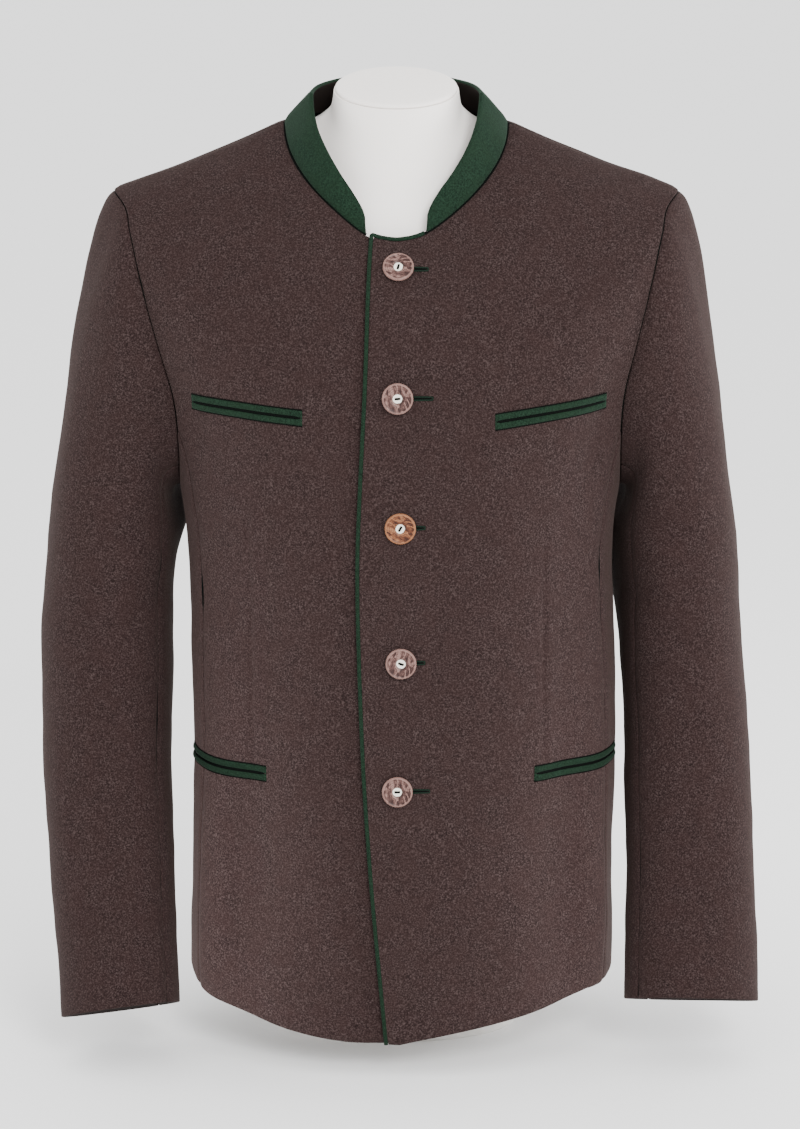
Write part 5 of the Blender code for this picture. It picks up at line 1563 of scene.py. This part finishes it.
def skirt_lighting():
    """Two low lamps at the sides that light only the body panels, past the sleeves."""
    panels = bpy.data.collections.new("body_panels")
    for side in ("right", "left"):
        for piece in ("front", "side", "back"):
            panels.objects.link(bpy.data.objects[f"cloth_{piece}_{side}"])
    x, y, z = SKIRT_MIDDLE
    for name, (lamp_x, lamp_y, lamp_z, size, power) in SKIRT_LAMPS.items():
        target = (math.copysign(x, lamp_x), y, z)
        made = add_lamp(name, (lamp_x, lamp_y, lamp_z), size, power, target)
        made.light_linking.receiver_collection = panels
        made.light_linking.blocker_collection = panels


def studio():
    """Wide plain pale floor, which also fills the view behind the coat."""
    reach = FLOOR_REACH
    points = [(-reach, -reach, 0.0), (reach, -reach, 0.0), (reach, reach, 0.0), (-reach, reach, 0.0)]
    paint = plain("floor_paint", FLOOR, FLOOR_SHADE, 3.0, 0.9, 0.0)
    floor = new_object("floor", points, [(0, 1, 2, 3)], [paint])


def camera():
    seen = bpy.data.cameras.new("camera")
    seen.lens = CAMERA_LENS
    seen.sensor_width = 36
    seen.clip_end = 200
    made = bpy.data.objects.new("camera", seen)
    made.location = CAMERA_PLACE
    made.rotation_euler = (CAMERA_PITCH, 0.0, 0.0)
    bpy.context.scene.collection.objects.link(made)
    bpy.context.scene.camera = made


def dress(frame):
    """All the pieces, each in place of its solid."""
    brown = wool("brown_melange", WOOL_DEEP, WOOL_MIDDLE, WOOL_PALE, WOOL_WARM, 0.04, WOOL_SHEEN)
    green = wool("green_wool_cloth", GREEN_DEEP, GREEN_MIDDLE, GREEN_PALE, GREEN_WARM, 0.05, GREEN_SHEEN)
    lining = plain("lining", LINING, LINING_SHADE, 120, 0.55, shine=0.2)
    # Near-black painted shade for the seam grooves, pocket slits and outlines and buttonhole slits
    slit = plain("slit_shade", SHADE_AND_THREAD_DARK, SHADE_AND_THREAD_DARK, 300, 0.9, shine=0.05)
    thread = plain("green_thread", THREAD_GREEN, GREEN_DEEP, 900, 0.8, 0.3, shine=0.1)
    dark_thread = plain("dark_thread", SHADE_AND_THREAD_DARK, SHADE_AND_THREAD_DARK, 900, 0.9, 0.3, shine=0.05)
    rose_horn = horn("rose_horn", HORN_LIGHT, HORN_MIDDLE, HORN_DARK, HORN_CORE)
    amber_horn = horn("amber_horn", AMBER_LIGHT, AMBER_MIDDLE, AMBER_DARK, HORN_CORE)
    cover = jersey("cream_cover", JERSEY, JERSEY_SHADE)
    lines = panel_lines()
    for side in ("right", "left"):
        fore, hind = sleeve_seams(side, lines)
        make_front(side, lines, [brown, lining])
        make_side(side, lines, [brown, lining])
        make_back(side, lines, [brown, lining])
        top = make_sleeve("top", side, hind - 2 * math.pi, fore, TOP_SLEEVE_FINE, [brown, lining])
        under = make_sleeve("under", side, fore, hind, UNDER_SLEEVE_FINE, [brown, lining])
        for kind in ("chest", "hip"):
            lips = make_pocket(side, kind, green, slit)
    collar = make_collar([green, lining])
    # Near-black ribbons in every seam's groove: painted shade
    make_seam_shades(lines, slit)
    piping = make_piping(lines, green)
    for name, (x, z, turn) in BUTTONS.items():
        finish = amber_horn if name == AMBER_BUTTON else rose_horn
        make_button(name, x, z, turn, finish, dark_thread)
        make_buttonhole(name, x, z, BUTTONHOLE_ENDS[name], thread, slit)
    make_form(cover)
    make_neck_cap(cover)
    enamel = plain("foot_enamel_paint", ENAMEL, ENAMEL_SHADE, 40, 0.35, 0.05, coat=0.3)
    for slot in frame["nodes"]["form_foot"].material_slots:
        slot.material = enamel


def main():
    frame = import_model()
    camera()
    lighting()
    studio()
    dress(frame)
    skirt_lighting()


main()
